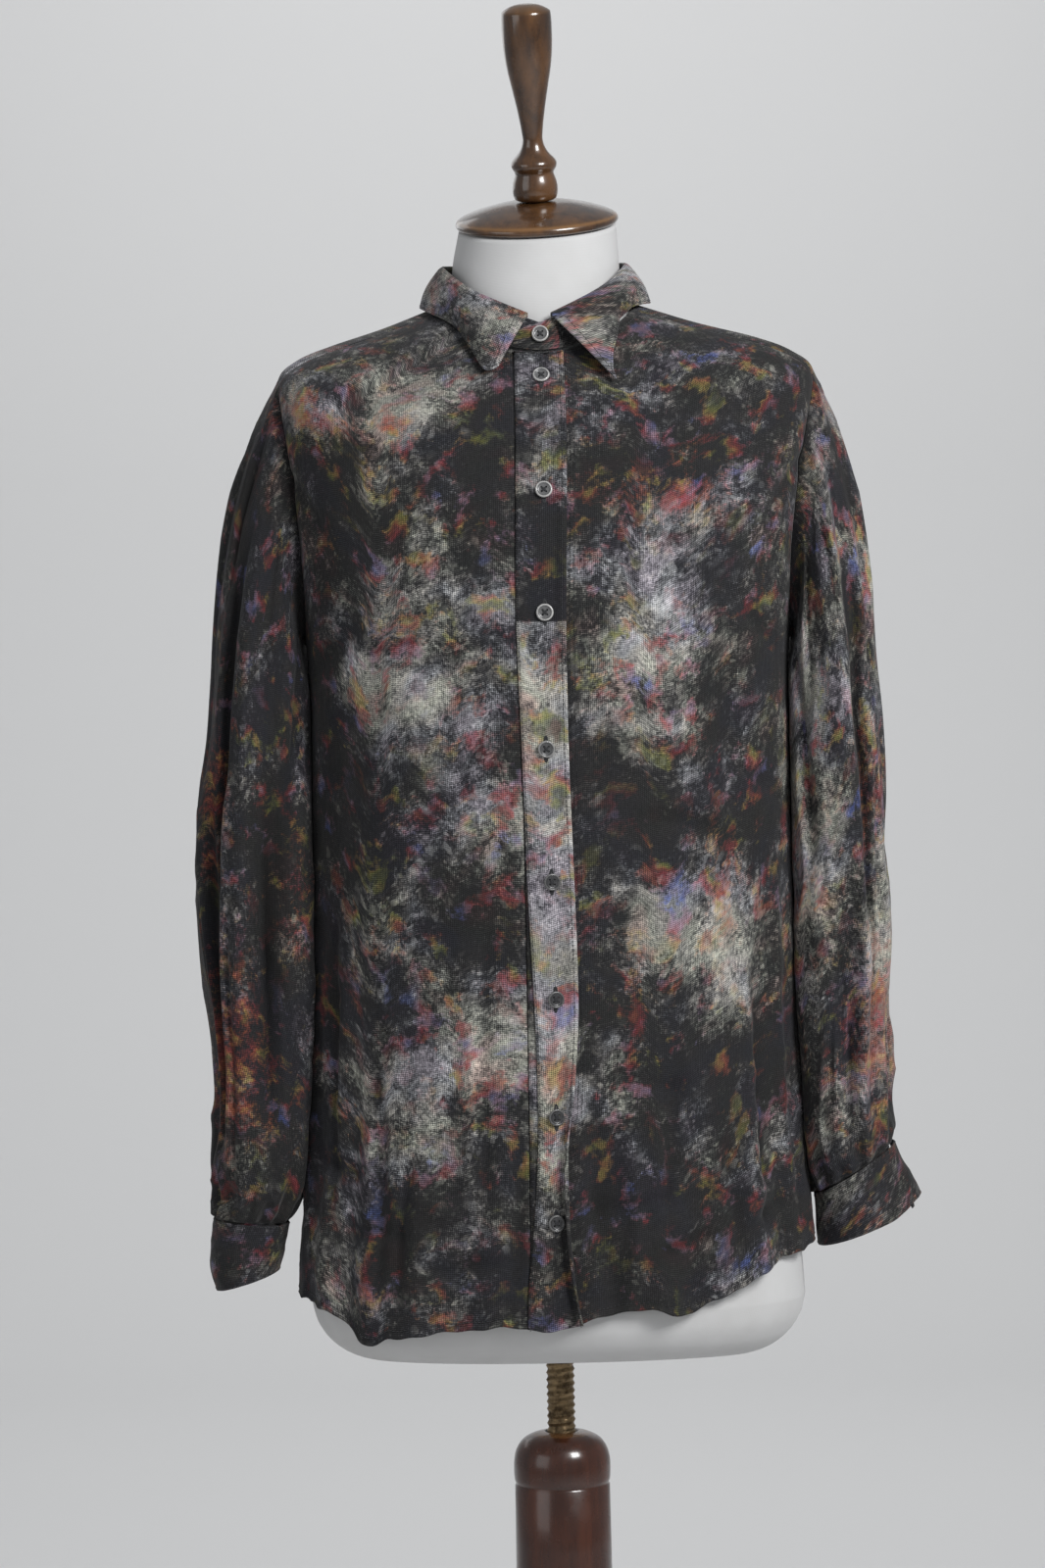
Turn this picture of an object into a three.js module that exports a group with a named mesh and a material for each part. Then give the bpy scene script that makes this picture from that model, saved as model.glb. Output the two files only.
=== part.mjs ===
// Long-sleeved tie-dye shirt with a collar, buttoned over a dress form on a turned wooden stand.
// Millimetres. +Z is up, the front faces -Y, and +X is the wearer's left.
// The origin is the centre of the base's flat underside.
import * as THREE from "three";

const { clamp, degToRad, lerp, radToDeg } = THREE.MathUtils;

// Cloth
const WALL = 1.3;
const SEAM = 0.3;
const LAYER = WALL + SEAM;

// Levels of the shirt: a level is the height of a ring where it crosses the side
const LEVEL_UNDERARM = 1318;
const LEVEL_SHOULDER = 1503;
const LEVEL_NECK = 1552;

// Rows and columns of the pieces
const ROWS_SKIRT = 10;
const ROWS_ARMHOLE = 12;
const ROWS_YOKE = 6;
const ROWS_BACK_ARMHOLE = 9;
const COLUMNS_FRONT = 10;
const COLUMNS_BACK = 16;
const COLUMNS_BAND = 4;
const COLUMNS_CUFF = 30;
const COLUMNS_STAND = 32;
const COLUMNS_COLLAR = 30;

// Front opening, as distances from the centre line
const OPENING_X = -18;
const BAND_NECK_DROP = 2;

// Buttons
const BUTTON_RADIUS = 5.75;
const BUTTON_THICKNESS = 2.4;

// Wooden and metal stand
const BASE_RADIUS = 190;
const BASE_HEIGHT = 28;
const FOOT_RADIUS = 72;
const FOOT_HEIGHT = 46;
const POLE_RADIUS = 33.5;
const POLE_TOP = 772;
const ROD_RADIUS = 10;
const ROD_DEPTH = 62;
const ROD_TOP = 819.7;
const THREAD_PITCH = 5;
const THREAD_DEPTH = 1.3;
const RUNNING_GAP = 0.5;
const FERRULE_RADIUS = 13;
const FERRULE_TOP = 825.7;

// Dress form
const FORM_BOTTOM = 826;
const FORM_ROUND = 46;
const FORM_TURNS = [6, 26, 46, 68];
const FORM_COLUMNS = 28;
const FORM_SEAT = WALL + 1.4;
const CAP_CENTRE = [0, 0, 1608];
const CAP_TILT = 17;
const CAP_ROLL = 2;
const CAP_RADIUS = 56.5;
const CAP_HEIGHT = 17.5;

// Rows of numbers under named columns, read between the rows along a smooth curve.
function table(columns, rows) {
  const read = (column, place) => {
    const c = columns.indexOf(column);
    const p = clamp(place, 0, rows.length - 1);
    const i = Math.min(Math.floor(p), rows.length - 2);
    const f = p - i;
    const value = (k) => rows[clamp(k, 0, rows.length - 1)][c];
    const slopeIn = (value(i + 1) - value(i - 1)) / 2;
    const slopeOut = (value(i + 2) - value(i)) / 2;
    const rise = value(i + 1) - value(i);
    const bend = f * (1 - f) * ((1 - f) * (slopeIn - rise) + f * (rise - slopeOut));
    return value(i) + f * rise + bend;
  };
  // The place between rows where a rising column reaches a value.
  const place = (column, wanted) => {
    let low = 0;
    let high = rows.length - 1;
    for (let step = 0; step < 30; step++) {
      const middle = (low + high) / 2;
      if (read(column, middle) < wanted) low = middle;
      else high = middle;
    }
    return (low + high) / 2;
  };
  return { columns, rows, read, place };
}

// Rings of the shirt's body: half widths, depths, heights at the centre front and back, squareness
const BODY = table(
  ["level", "left", "right", "front", "back", "zFront", "zBack", "square"],
  [
    [800, 181, 182, 121, 121, 800, 800, 2.3],
    [860, 179, 179, 121, 121, 860, 860, 2.3],
    [920, 175, 175, 121, 119, 920, 920, 2.3],
    [1000, 168, 169, 119, 116, 1000, 1000, 2.3],
    [1080, 164, 166, 119, 113, 1080, 1080, 2.3],
    [1160, 163, 165, 121, 110, 1160, 1160, 2.3],
    [1240, 163, 166, 125, 109, 1240, 1240, 2.3],
    [1310, 165, 168, 129, 110, 1310, 1310, 2.3],
    [1370, 170, 173, 128, 113, 1368, 1369, 2.4],
    [1420, 175, 179, 122, 115, 1408, 1414, 2.5],
    [1465, 180, 185, 114, 113, 1437, 1447, 2.6],
    [1503, 182, 189, 106, 107, 1460, 1474, 2.6],
    [1518, 168, 174, 100, 100, 1474, 1496, 2.5],
    [1528, 143, 149, 94, 92, 1485, 1514, 2.4],
    [1539, 108, 108, 87, 78, 1497, 1541, 2.2],
    [1552, 74, 68, 77, 59, 1512, 1566, 2.0],
  ],
);
const RIDGE = 1.7;
const FOLD_RADIUS = 150;

// Soft folds of the body. Each runs from low to high, and its angle shifts by drift on the way up.
const BODY_FOLDS = table(
  ["angle", "drift", "low", "high", "width", "depth"],
  [
    [-66, 10, 700, 1180, 15, 6],
    [-52, -6, 740, 1120, 13, -5],
    [-38, 9, 720, 1010, 15, 5],
    [-27, 7, 740, 990, 11, -4],
    [13, -2, 760, 1060, 9, -4],
    [22, 5, 750, 1010, 11, 5],
    [34, -7, 740, 1040, 13, -5],
    [47, 6, 720, 1130, 15, 5],
    [63, -8, 700, 1220, 16, -5],
    [-60, 24, 1120, 1400, 20, -4],
    [58, -22, 1100, 1390, 20, -4],
    [76, 4, 760, 1300, 15, 5],
    [-78, -4, 780, 1290, 15, 5],
    [104, 8, 700, 1240, 18, 6],
    [122, -6, 720, 1380, 18, -6],
    [141, 5, 700, 1300, 20, 7],
    [160, 4, 720, 1420, 18, -6],
    [177, -4, 700, 1350, 20, 6],
    [196, 6, 720, 1400, 18, -6],
    [214, -5, 700, 1290, 20, 7],
    [233, 6, 720, 1360, 18, -6],
    [252, -6, 700, 1230, 17, 6],
  ],
);

// The hem's level round the body
const HEM = table(
  ["angle", "level"],
  [
    [-180, 848],
    [-150, 852],
    [-120, 868],
    [-90, 874],
    [-66, 871],
    [-57, 864],
    [-47, 847],
    [-38, 853],
    [-26, 857],
    [-13, 861],
    [0, 859],
    [10, 868],
    [20, 870],
    [28, 866],
    [37, 875],
    [50, 889],
    [62, 897],
    [90, 903],
    [120, 880],
    [150, 856],
    [180, 848],
  ],
);

// Edges of the button band, as distances from the centre line
const BAND = table(
  ["level", "left", "right"],
  [
    [840, -22, 20],
    [880, -21, 15],
    [920, -17, 12],
    [970, -13, 11],
    [1010, -12, 12],
    [1070, -13, 16],
    [1150, -16, 15],
    [1240, -18, 13],
    [1330, -20, 13],
    [1410, -19, 15],
    [1500, -18, 16],
    [1552, -18, 15],
  ],
);

// Armhole edge in front and at the back: a share of the way up, and the angle round the body there
const ARMHOLE = table(
  ["share", "front", "back"],
  [
    [0, 90, 90],
    [0.03, 85, 95],
    [0.12, 80, 100.5],
    [0.3, 76.5, 104],
    [0.55, 75.5, 105.5],
    [0.8, 77, 105.5],
    [1, 80, 104],
  ],
);
const BACK_ARMHOLE_SHARE = 0.82;

// Top of the armhole, from the yoke's front corner over the shoulder to its back corner
const ARMHOLE_TOP = table(
  ["angle", "level"],
  [
    [80, 1503],
    [84, 1504.2],
    [88, 1504.6],
    [92.5, 1503.5],
    [97, 1499],
    [101, 1488],
    [104, 1469.7],
  ],
);
const YOKE_CORNER_ANGLE = ARMHOLE_TOP.rows[0][0];
const YOKE_NECK_ANGLE = 73;
const YOKE_BACK_LEVEL = 1496;

// Point of the body's smooth surface at an angle round it, from 0 at the centre front
function bodyBase(angle, level) {
  const place = BODY.place("level", level);
  const column = (name) => BODY.read(name, place);
  const s = Math.sin(degToRad(angle));
  const inFront = Math.cos(degToRad(angle)) >= 0;
  const square = column("square");
  const w = Math.max(0, 1 - Math.abs(s) ** square) ** (1 / square);
  const x = s * column(s < 0 ? "left" : "right");
  const y = inFront ? -w * column("front") : w * column("back");
  const zEnd = column(inFront ? "zFront" : "zBack");
  return new THREE.Vector3(x, y, lerp(level, zEnd, w ** RIDGE));
}

function bodyNormal(angle, level) {
  const around = bodyBase(angle + 0.6, level).sub(bodyBase(angle - 0.6, level));
  const up = bodyBase(angle, level + 1.5).sub(bodyBase(angle, level - 1.5));
  return around.cross(up).normalize();
}

// How far the folds push the cloth out at one place
function foldHeight(angle, level) {
  let height = 0;
  for (const [centre, drift, low, high, width, depth] of BODY_FOLDS.rows) {
    const share = (level - low) / (high - low);
    if (share <= 0 || share >= 1) continue;
    const turn = ((angle - centre - drift * share + 540) % 360) - 180;
    const across = (degToRad(turn) * FOLD_RADIUS) / width;
    height += depth * Math.exp(-across * across) * Math.sin(Math.PI * share) ** 1.3;
  }
  return height;
}

// Point of the shirt's cloth, moved out from the body's panels by lift
function clothPoint(angle, level, lift = 0) {
  const out = lift + foldHeight(angle, level);
  return bodyBase(angle, level).addScaledVector(bodyNormal(angle, level), out);
}

function hemLevel(angle) {
  const turn = ((angle + 540) % 360) - 180;
  return HEM.read("level", HEM.place("angle", turn));
}

function angleOfX(x, level) {
  const half = BODY.read(x < 0 ? "left" : "right", BODY.place("level", level));
  return radToDeg(Math.asin(x / half));
}

function armholeAngle(side, level) {
  const share = (level - LEVEL_UNDERARM) / (LEVEL_SHOULDER - LEVEL_UNDERARM);
  return ARMHOLE.read(side, ARMHOLE.place("share", share));
}

// Levels of the armhole's rows, closest together at the underarm
function armholeLevels(rows, topShare) {
  const height = LEVEL_SHOULDER - LEVEL_UNDERARM;
  const share = (k) => topShare * (k / rows) ** 1.5;
  return Array.from({ length: rows + 1 }, (_, k) => LEVEL_UNDERARM + height * share(k));
}

// A closed wall between two grids of points. A ring's last column joins its first, and a row may
// have twice as many points as the row before it.
function wallGeometry(outer, inner, ring = false) {
  const positions = [];
  const index = [];
  const starts = [outer, inner].map((grid) =>
    grid.map((row) => {
      const start = positions.length / 3;
      row.forEach((p) => positions.push(p.x, p.y, p.z));
      return start;
    }),
  );
  const at = (side, r, c) => starts[side][r] + (c % outer[r].length);
  const face = (side, first, ...others) => {
    for (let k = 1; k < others.length; k++) {
      const edge = [others[k - 1], others[k]];
      index.push(first, ...(side ? edge.reverse() : edge));
    }
  };
  const cells = (r) => (ring ? outer[r].length : outer[r].length - 1);
  for (const side of [0, 1]) {
    for (let r = 0; r < outer.length - 1; r++) {
      const split = outer[r + 1].length > outer[r].length ? 2 : 1;
      for (let c = 0; c < cells(r); c++) {
        const top = Array.from({ length: split + 1 }, (_, k) => at(side, r + 1, split * c + k));
        if (split === 1) {
          face(side, at(side, r, c), at(side, r, c + 1), top[1], top[0]);
        } else {
          face(side, at(side, r, c), top[1], top[0]);
          face(side, at(side, r, c), at(side, r, c + 1), top[1]);
          face(side, at(side, r, c + 1), top[2], top[1]);
        }
      }
    }
  }
  const last = outer.length - 1;
  for (let c = 0; c < cells(0); c++) {
    face(0, at(1, 0, c), at(1, 0, c + 1), at(0, 0, c + 1), at(0, 0, c));
  }
  for (let c = 0; c < cells(last); c++) {
    face(0, at(0, last, c), at(0, last, c + 1), at(1, last, c + 1), at(1, last, c));
  }
  if (!ring) {
    for (let r = 0; r < last; r++) {
      const end = outer[r].length - 1;
      face(0, at(0, r, 0), at(0, r + 1, 0), at(1, r + 1, 0), at(1, r, 0));
      face(0, at(1, r, end), at(1, r + 1, end), at(0, r + 1, end), at(0, r, end));
    }
  }
  return facingOut(positions, index);
}

// Geometry whose faces all point out of the body that they close
function facingOut(positions, index) {
  const corner = (k) => new THREE.Vector3().fromArray(positions, 3 * index[k]);
  let volume = 0;
  for (let k = 0; k < index.length; k += 3) volume += corner(k).dot(corner(k + 1).cross(corner(k + 2)));
  if (volume < 0) index.reverse();
  return new THREE.BufferGeometry()
    .setAttribute("position", new THREE.Float32BufferAttribute(positions, 3))
    .setIndex(index);
}

// Unit normals of a grid, from the neighbours of each point
function gridNormals(grid, ring) {
  return grid.map((row, r) =>
    row.map((point, c) => {
      const n = row.length;
      const next = ring ? row[(c + 1) % n] : row[Math.min(c + 1, n - 1)];
      const before = ring ? row[(c + n - 1) % n] : row[Math.max(c - 1, 0)];
      const aboveRow = grid[Math.min(r + 1, grid.length - 1)];
      const belowRow = grid[Math.max(r - 1, 0)];
      const above = aboveRow[Math.round((c * aboveRow.length) / n) % aboveRow.length];
      const below = belowRow[Math.floor((c * belowRow.length) / n)];
      const around = next.clone().sub(before);
      return around.cross(above.clone().sub(below)).normalize();
    }),
  );
}

// A wall whose outer points are a grid and whose inner points lie under it along given normals
function wallUnder(grid, normals, ring = false, thickness = WALL) {
  const inner = grid.map((row, r) =>
    row.map((point, c) => point.clone().addScaledVector(normals[r][c], -thickness)),
  );
  return wallGeometry(grid, inner, ring);
}

// A panel of the body: places are rows of [angle, level]
function bodyPanel(places, lift = 0) {
  const layer = (out) => places.map((row) => row.map(([angle, level]) => clothPoint(angle, level, out)));
  return wallGeometry(layer(lift), layer(lift - WALL));
}

// Half the seam between two panels, as an angle round the body
const SEAM_ANGLE = 0.16;

// Levels of the fronts' rows. The first ones start from the hem, so they are only its upper end.
const FRONT_LEVELS = [
  ...Array.from({ length: ROWS_SKIRT }, () => LEVEL_UNDERARM),
  ...armholeLevels(ROWS_ARMHOLE, 1),
  ...Array.from({ length: ROWS_YOKE }, (_, k) =>
    lerp(LEVEL_SHOULDER, LEVEL_NECK, (k + 1) / ROWS_YOKE),
  ),
];

// A row's level at one angle: the rows of the skirt spread between the hem and the underarm
function rowLevel(level, r, angle) {
  return lerp(hemLevel(angle), level, Math.min(1, r / ROWS_SKIRT));
}

// Rows of a front panel, from the hem up to the neckline, from the opening to the side
function frontPlaces(sign, openingX) {
  return FRONT_LEVELS.map((level, r) => {
    const yokeShare = (level - LEVEL_SHOULDER) / (LEVEL_NECK - LEVEL_SHOULDER);
    const edge =
      yokeShare > 0
        ? lerp(YOKE_CORNER_ANGLE, YOKE_NECK_ANGLE, yokeShare)
        : armholeAngle("front", level);
    const places = Array.from({ length: COLUMNS_FRONT + 1 }, (_, c) => {
      const share = c / COLUMNS_FRONT;
      const opening = angleOfX(openingX, level);
      const angle = lerp(opening, sign * (edge - SEAM_ANGLE), share);
      return [angle, rowLevel(level, r, angle)];
    });
    return sign > 0 ? places : places.reverse();
  });
}

// Rows of the back panel, from the hem up to the yoke seam, from one side to the other
function backPlaces() {
  const levels = [
    ...Array.from({ length: ROWS_SKIRT }, () => LEVEL_UNDERARM),
    ...armholeLevels(ROWS_BACK_ARMHOLE, BACK_ARMHOLE_SHARE),
  ];
  const top = levels[levels.length - 1];
  return levels.map((level, r) => {
    const edge = armholeAngle("back", level) + SEAM_ANGLE;
    return Array.from({ length: COLUMNS_BACK + 1 }, (_, c) => {
      const angle = lerp(edge, 360 - edge, c / COLUMNS_BACK);
      const rise = Math.max(0, (level - LEVEL_UNDERARM) / (top - LEVEL_UNDERARM));
      const swell = (YOKE_BACK_LEVEL - top) * Math.sin((Math.PI * c) / COLUMNS_BACK);
      const raised = level + swell * rise - 2 * SEAM * rise;
      return [angle, rowLevel(raised, r, angle)];
    });
  });
}

// Rows of the yoke, from the armholes and the back seam up to the neckline
function yokePlaces() {
  const over = ARMHOLE_TOP.rows;
  const [cornerAngle, cornerLevel] = over[over.length - 1];
  const low = over.map(([angle, level]) => [angle, level]);
  for (let c = 1; c < COLUMNS_BACK; c++) {
    const share = c / COLUMNS_BACK;
    const swell = (YOKE_BACK_LEVEL - cornerLevel) * Math.sin(Math.PI * share);
    low.push([lerp(cornerAngle, 360 - cornerAngle, share), cornerLevel + swell]);
  }
  for (const [angle, level] of over.toReversed()) low.push([360 - angle, level]);
  return Array.from({ length: ROWS_YOKE + 1 }, (_, r) =>
    low.map(([angle, level]) => {
      const share = r / ROWS_YOKE;
      const across = (angle - YOKE_CORNER_ANGLE) / (360 - 2 * YOKE_CORNER_ANGLE);
      const neckAngle = lerp(YOKE_NECK_ANGLE, 360 - YOKE_NECK_ANGLE, across);
      const gap = SEAM_ANGLE * (1 - 2 * across);
      return [lerp(angle, neckAngle, share) + gap, lerp(level, LEVEL_NECK, share)];
    }),
  );
}

// The strip of cloth that holds the buttonholes, on top of both fronts
function bandPlaces() {
  return FRONT_LEVELS.map((top, r) => {
    const row = rowLevel(top, r, 0) - (top === LEVEL_NECK ? BAND_NECK_DROP : 0);
    const place = BAND.place("level", row);
    return Array.from({ length: COLUMNS_BAND + 1 }, (_, c) => {
      const x = lerp(BAND.read("left", place), BAND.read("right", place), c / COLUMNS_BAND);
      const angle = angleOfX(x, row);
      return [angle, r < ROWS_SKIRT ? rowLevel(top, r, angle) : row];
    });
  });
}

// Points round one armhole as [angle, level]: up the front, over the shoulder, down the back
function armholeLoop() {
  const front = armholeLevels(ROWS_ARMHOLE, 1).map((level) => [armholeAngle("front", level), level]);
  const top = ARMHOLE_TOP.rows.slice(1);
  const back = armholeLevels(ROWS_BACK_ARMHOLE, BACK_ARMHOLE_SHARE)
    .slice(1, -1)
    .map((level) => [armholeAngle("back", level), level]);
  return [...front, ...top, ...back.toReversed()];
}

// Rings of the sleeves: outer and inner edge seen from the front, middle and half depth, squareness
const SLEEVE_COLUMNS = ["outerX", "outerZ", "innerX", "innerZ", "y", "depth", "square"];
const SLEEVE_LEFT = table(SLEEVE_COLUMNS, [
  [190, 1503, 169.5, 1320, 2, 45, 2.0],
  [196, 1491, 171.3, 1321, 2, 50, 2.0],
  [203, 1476, 172.2, 1313, 2, 54, 2.0],
  [209, 1456, 171.5, 1300, 2, 57, 2.1],
  [215, 1428, 170.5, 1283, 2, 59, 2.2],
  [221, 1394, 169.8, 1262, 1, 60, 2.3],
  [226, 1352, 169.6, 1236, 0, 60, 2.4],
  [229, 1304, 169.6, 1205, -2, 59, 2.4],
  [234, 1258, 169.6, 1172, -4, 58, 2.4],
  [236, 1214, 169.4, 1140, -6, 57, 2.4],
  [234, 1172, 169.4, 1108, -8, 56, 2.4],
  [236, 1128, 169.6, 1074, -10, 55, 2.4],
  [234, 1084, 170.5, 1042, -12, 54, 2.3],
  [233, 1044, 172, 1010, -13, 52, 2.2],
  [233, 1010, 173.5, 982, -14, 49, 2.2],
  [233, 992, 174.5, 966, -14, 47, 2.1],
  [234, 980, 175.5, 952, -14, 44, 2.0],
  [232, 973, 176.5, 943, -14, 41, 2.0],
  [229, 968.5, 177.5, 936.5, -14, 38, 2.0],
]);
const SLEEVE_RIGHT = table(SLEEVE_COLUMNS, [
  [182, 1503, 166.5, 1320, 2, 45, 2.0],
  [189, 1491, 168.3, 1321, 2, 50, 2.0],
  [197, 1474, 169.2, 1313, 2, 54, 2.0],
  [206, 1452, 168.5, 1300, 2, 57, 2.1],
  [214, 1424, 167.5, 1283, 2, 59, 2.2],
  [221, 1388, 166.8, 1262, 1, 60, 2.3],
  [227, 1346, 166.6, 1236, 0, 60, 2.4],
  [232, 1300, 166.6, 1205, -2, 59, 2.4],
  [236, 1252, 166.6, 1172, -4, 58, 2.4],
  [243, 1208, 166.6, 1140, -6, 57, 2.4],
  [245, 1166, 166.6, 1108, -8, 56, 2.4],
  [246, 1118, 167, 1074, -10, 55, 2.4],
  [243, 1070, 168.5, 1042, -12, 54, 2.3],
  [239, 1024, 170.5, 1008, -13, 52, 2.2],
  [239, 986, 173, 976, -14, 49, 2.2],
  [240, 962, 175.5, 954, -14, 47, 2.1],
  [237, 948, 178, 941, -14, 44, 2.0],
  [236, 937, 181, 932, -14, 41, 2.0],
  [237, 928, 185, 923, -14, 37, 2.0],
]);
const GATHER_ROWS = 4;
const GATHERS = 13;
const GATHER_DEPTH = 2.2;
const ARMHOLE_FADE_ROWS = 6;

// Creases of a sleeve: place round it in degrees from the outer edge towards the front
const CREASE_COLUMNS = ["around", "drift", "from", "to", "width", "depth"];
const CREASES_LEFT = table(CREASE_COLUMNS, [
  [38, 40, 0.8, 11.5, 19, -8],
  [62, 34, 1.6, 9, 18, 4],
  [24, -12, 6, 13, 15, -5],
  [104, -26, 8.5, 15, 18, -6],
  [72, 10, 10.5, 16, 17, 4],
  [10, 10, 2.5, 8, 14, 3],
  [-40, -24, 1.5, 10, 20, -7],
  [-78, 14, 4, 14, 20, -6],
  [-58, 20, 9, 16, 18, 4],
  [-118, 16, 3, 12, 20, -4],
]);
const CREASES_RIGHT = table(CREASE_COLUMNS, [
  [34, 30, 1, 8.5, 18, -6],
  [58, 26, 2.5, 10, 18, 4],
  [46, -6, 7.5, 14.5, 15, -8],
  [16, -6, 10, 15.5, 14, -6],
  [84, -12, 9, 16, 18, 4],
  [110, -18, 6, 14, 18, -6],
  [8, 8, 3, 7, 14, 3],
  [-44, -22, 1.5, 10, 20, -7],
  [-74, 16, 4, 14, 20, -6],
  [-60, 22, 9, 16, 18, 4],
]);

function creaseHeight(creases, around, place) {
  let height = 0;
  for (const [centre, drift, from, to, width, depth] of creases.rows) {
    const share = (place - from) / (to - from);
    if (share <= 0 || share >= 1) continue;
    const turn = ((around - centre - drift * share + 540) % 360) - 180;
    height += depth * Math.exp(-((turn / width) ** 2)) * Math.sin(Math.PI * share) ** 0.8;
  }
  return height;
}

// Point of a tube's ring, with out measured away from its middle
function tubePoint(rings, place, around, sign, out = 0) {
  const column = (name) => rings.read(name, place);
  const middle = new THREE.Vector3(
    (column("outerX") + column("innerX")) / 2,
    column("y"),
    (column("outerZ") + column("innerZ")) / 2,
  );
  const half = new THREE.Vector3(
    (column("outerX") - column("innerX")) / 2,
    0,
    (column("outerZ") - column("innerZ")) / 2,
  );
  const power = (value) => Math.sign(value) * Math.abs(value) ** (2 / column("square"));
  const across = power(Math.cos(degToRad(around)));
  const forward = power(Math.sin(degToRad(around)));
  const reach = half.length();
  const point = middle.clone().addScaledVector(half, (across * (reach + out)) / reach);
  point.y -= forward * (column("depth") + out);
  point.x *= sign;
  return point;
}

// A sleeve: its first ring follows the armhole, and its last rings are gathered into the cuff
function sleeve(rings, creases, sign) {
  const loop = armholeLoop();
  const edge = loop.map(([angle, level]) => clothPoint(sign * angle, level));
  const edgeNormals = loop.map(([angle, level]) => bodyNormal(sign * angle, level));
  const top = Math.max(...edge.map((p) => p.z));
  const low = Math.min(...edge.map((p) => p.z));
  const halfDepth = (Math.max(...edge.map((p) => p.y)) - Math.min(...edge.map((p) => p.y))) / 2;
  const middleY = (Math.max(...edge.map((p) => p.y)) + Math.min(...edge.map((p) => p.y))) / 2;
  const around = edge.map((p) => {
    const up = (p.z - (top + low) / 2) / ((top - low) / 2);
    const forward = (middleY - p.y) / halfDepth;
    return radToDeg(Math.atan2(forward, up));
  });
  around[0] = 180;
  const lastPlace = rings.rows.length - 1;
  const grid = rings.rows.map((_, place) => {
    const fine = place > lastPlace - GATHER_ROWS;
    const turns = fine
      ? around.flatMap((turn, i) => {
          const following = i + 1 < around.length ? around[i + 1] : -180;
          return [turn, (turn + following) / 2];
        })
      : around;
    const gather = fine ? (place - (lastPlace - GATHER_ROWS)) / GATHER_ROWS : 0;
    return turns.map((turn, i) => {
      const wave = Math.cos((2 * Math.PI * GATHERS * i) / turns.length);
      const out = creaseHeight(creases, turn, place) + GATHER_DEPTH * gather * wave;
      const point = tubePoint(rings, place, turn, sign, out);
      if (place >= ARMHOLE_FADE_ROWS || fine) return point;
      const start = tubePoint(rings, 0, turn, sign);
      const fade = 1 - place / ARMHOLE_FADE_ROWS;
      return point.add(edge[i].clone().sub(start).multiplyScalar(fade));
    });
  });
  grid[0] = edge.map((p, i) => {
    const away = grid[1][i].clone().sub(p);
    away.addScaledVector(edgeNormals[i], -away.dot(edgeNormals[i]));
    return p.clone().addScaledVector(away.normalize(), SEAM);
  });
  const normals = gridNormals(grid, true);
  const outward = normals[8][0].x * sign < 0 ? 1 : -1;
  normals.forEach((row) => row.forEach((n) => n.multiplyScalar(outward)));
  normals[0] = edgeNormals.map((n, i) => n.clone().lerp(normals[1][i], 0.5).normalize());
  return wallUnder(grid, normals, true);
}

// Rings of the cuffs, from the seam down to the edge
const CUFF_LEFT = table(SLEEVE_COLUMNS, [
  [229, 967.6, 177.5, 935.8, -14, 38, 2.1],
  [233, 955, 178, 925, -14, 39, 2.1],
  [240, 941, 178.5, 913, -15, 41, 2.1],
  [246, 926, 179.5, 900, -16, 44, 2.1],
]);
const CUFF_RIGHT = table(SLEEVE_COLUMNS, [
  [237, 927, 185, 922, -14, 37, 2.1],
  [239, 912, 187, 911, -14, 36, 2.1],
  [240, 894, 189, 901, -14, 36, 2.1],
  [236, 877, 192, 890, -14, 35, 2.1],
]);

// How each cuff closes: where its under end starts in degrees round it, how far the upper end laps
// over it, the gap between them, how much higher the upper end ends, and the button's place
const CLOSING_LEFT = { start: 20, overlap: 40, gap: 3.9, rise: 7, button: 0, buttonOn: "under" };
const CLOSING_RIGHT = { start: -40, overlap: 36, gap: SEAM, rise: 0, button: -66, buttonOn: "upper" };

// A cuff: a strip that starts under its own end, so it spirals out by one layer and a gap
function cuff(rings, sign, { start, overlap, gap, rise }) {
  const rows = rings.rows.length - 1;
  const turns = 360 + overlap;
  const grid = rings.rows.map((_, place) =>
    Array.from({ length: COLUMNS_CUFF + 1 }, (_, c) => {
      const share = c / COLUMNS_CUFF;
      const late = clamp((share * turns - (turns - 2.2 * overlap)) / (1.2 * overlap), 0, 1);
      const lift = (WALL + gap) * late * late * (3 - 2 * late);
      const point = tubePoint(rings, place, start - turns * share, sign, lift);
      point.z += (rise * late * place) / rows;
      return point;
    }),
  );
  const normals = gridNormals(grid, false);
  const middle = normals[1][0];
  const centre = tubePoint(rings, 1, start, sign).sub(tubePoint(rings, 1, start + 180, sign));
  if (middle.dot(centre) < 0) normals.forEach((row) => row.forEach((n) => n.negate()));
  return wallUnder(grid, normals, false);
}

// Middle of a cuff's button on the cloth under it, and the way it faces
function cuffButtonSeat(rings, sign, { gap, button, buttonOn }) {
  const middle = (rings.rows.length - 1) / 2;
  const lift = buttonOn === "upper" ? WALL + gap : 0;
  const at = (place, around) => tubePoint(rings, place, around, sign, lift);
  const along = at(middle + 0.3, button).sub(at(middle - 0.3, button));
  const across = at(middle, button + 3).sub(at(middle, button - 3));
  const normal = across.cross(along).normalize();
  const outwards = at(middle, button).sub(at(middle, button + 180));
  if (normal.dot(outwards) < 0) normal.negate();
  return [at(middle, button), normal];
}

// Fold of the collar round the neck: half widths, depths, and its height at each angle
const FOLD = { left: 64, right: 58.5, front: 72, back: 60 };
const FOLD_HEIGHT = table(
  ["angle", "z"],
  [
    [0, 1536],
    [25, 1549],
    [45, 1560],
    [70, 1575],
    [90, 1582],
    [135, 1588],
    [180, 1590],
  ],
);

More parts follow.
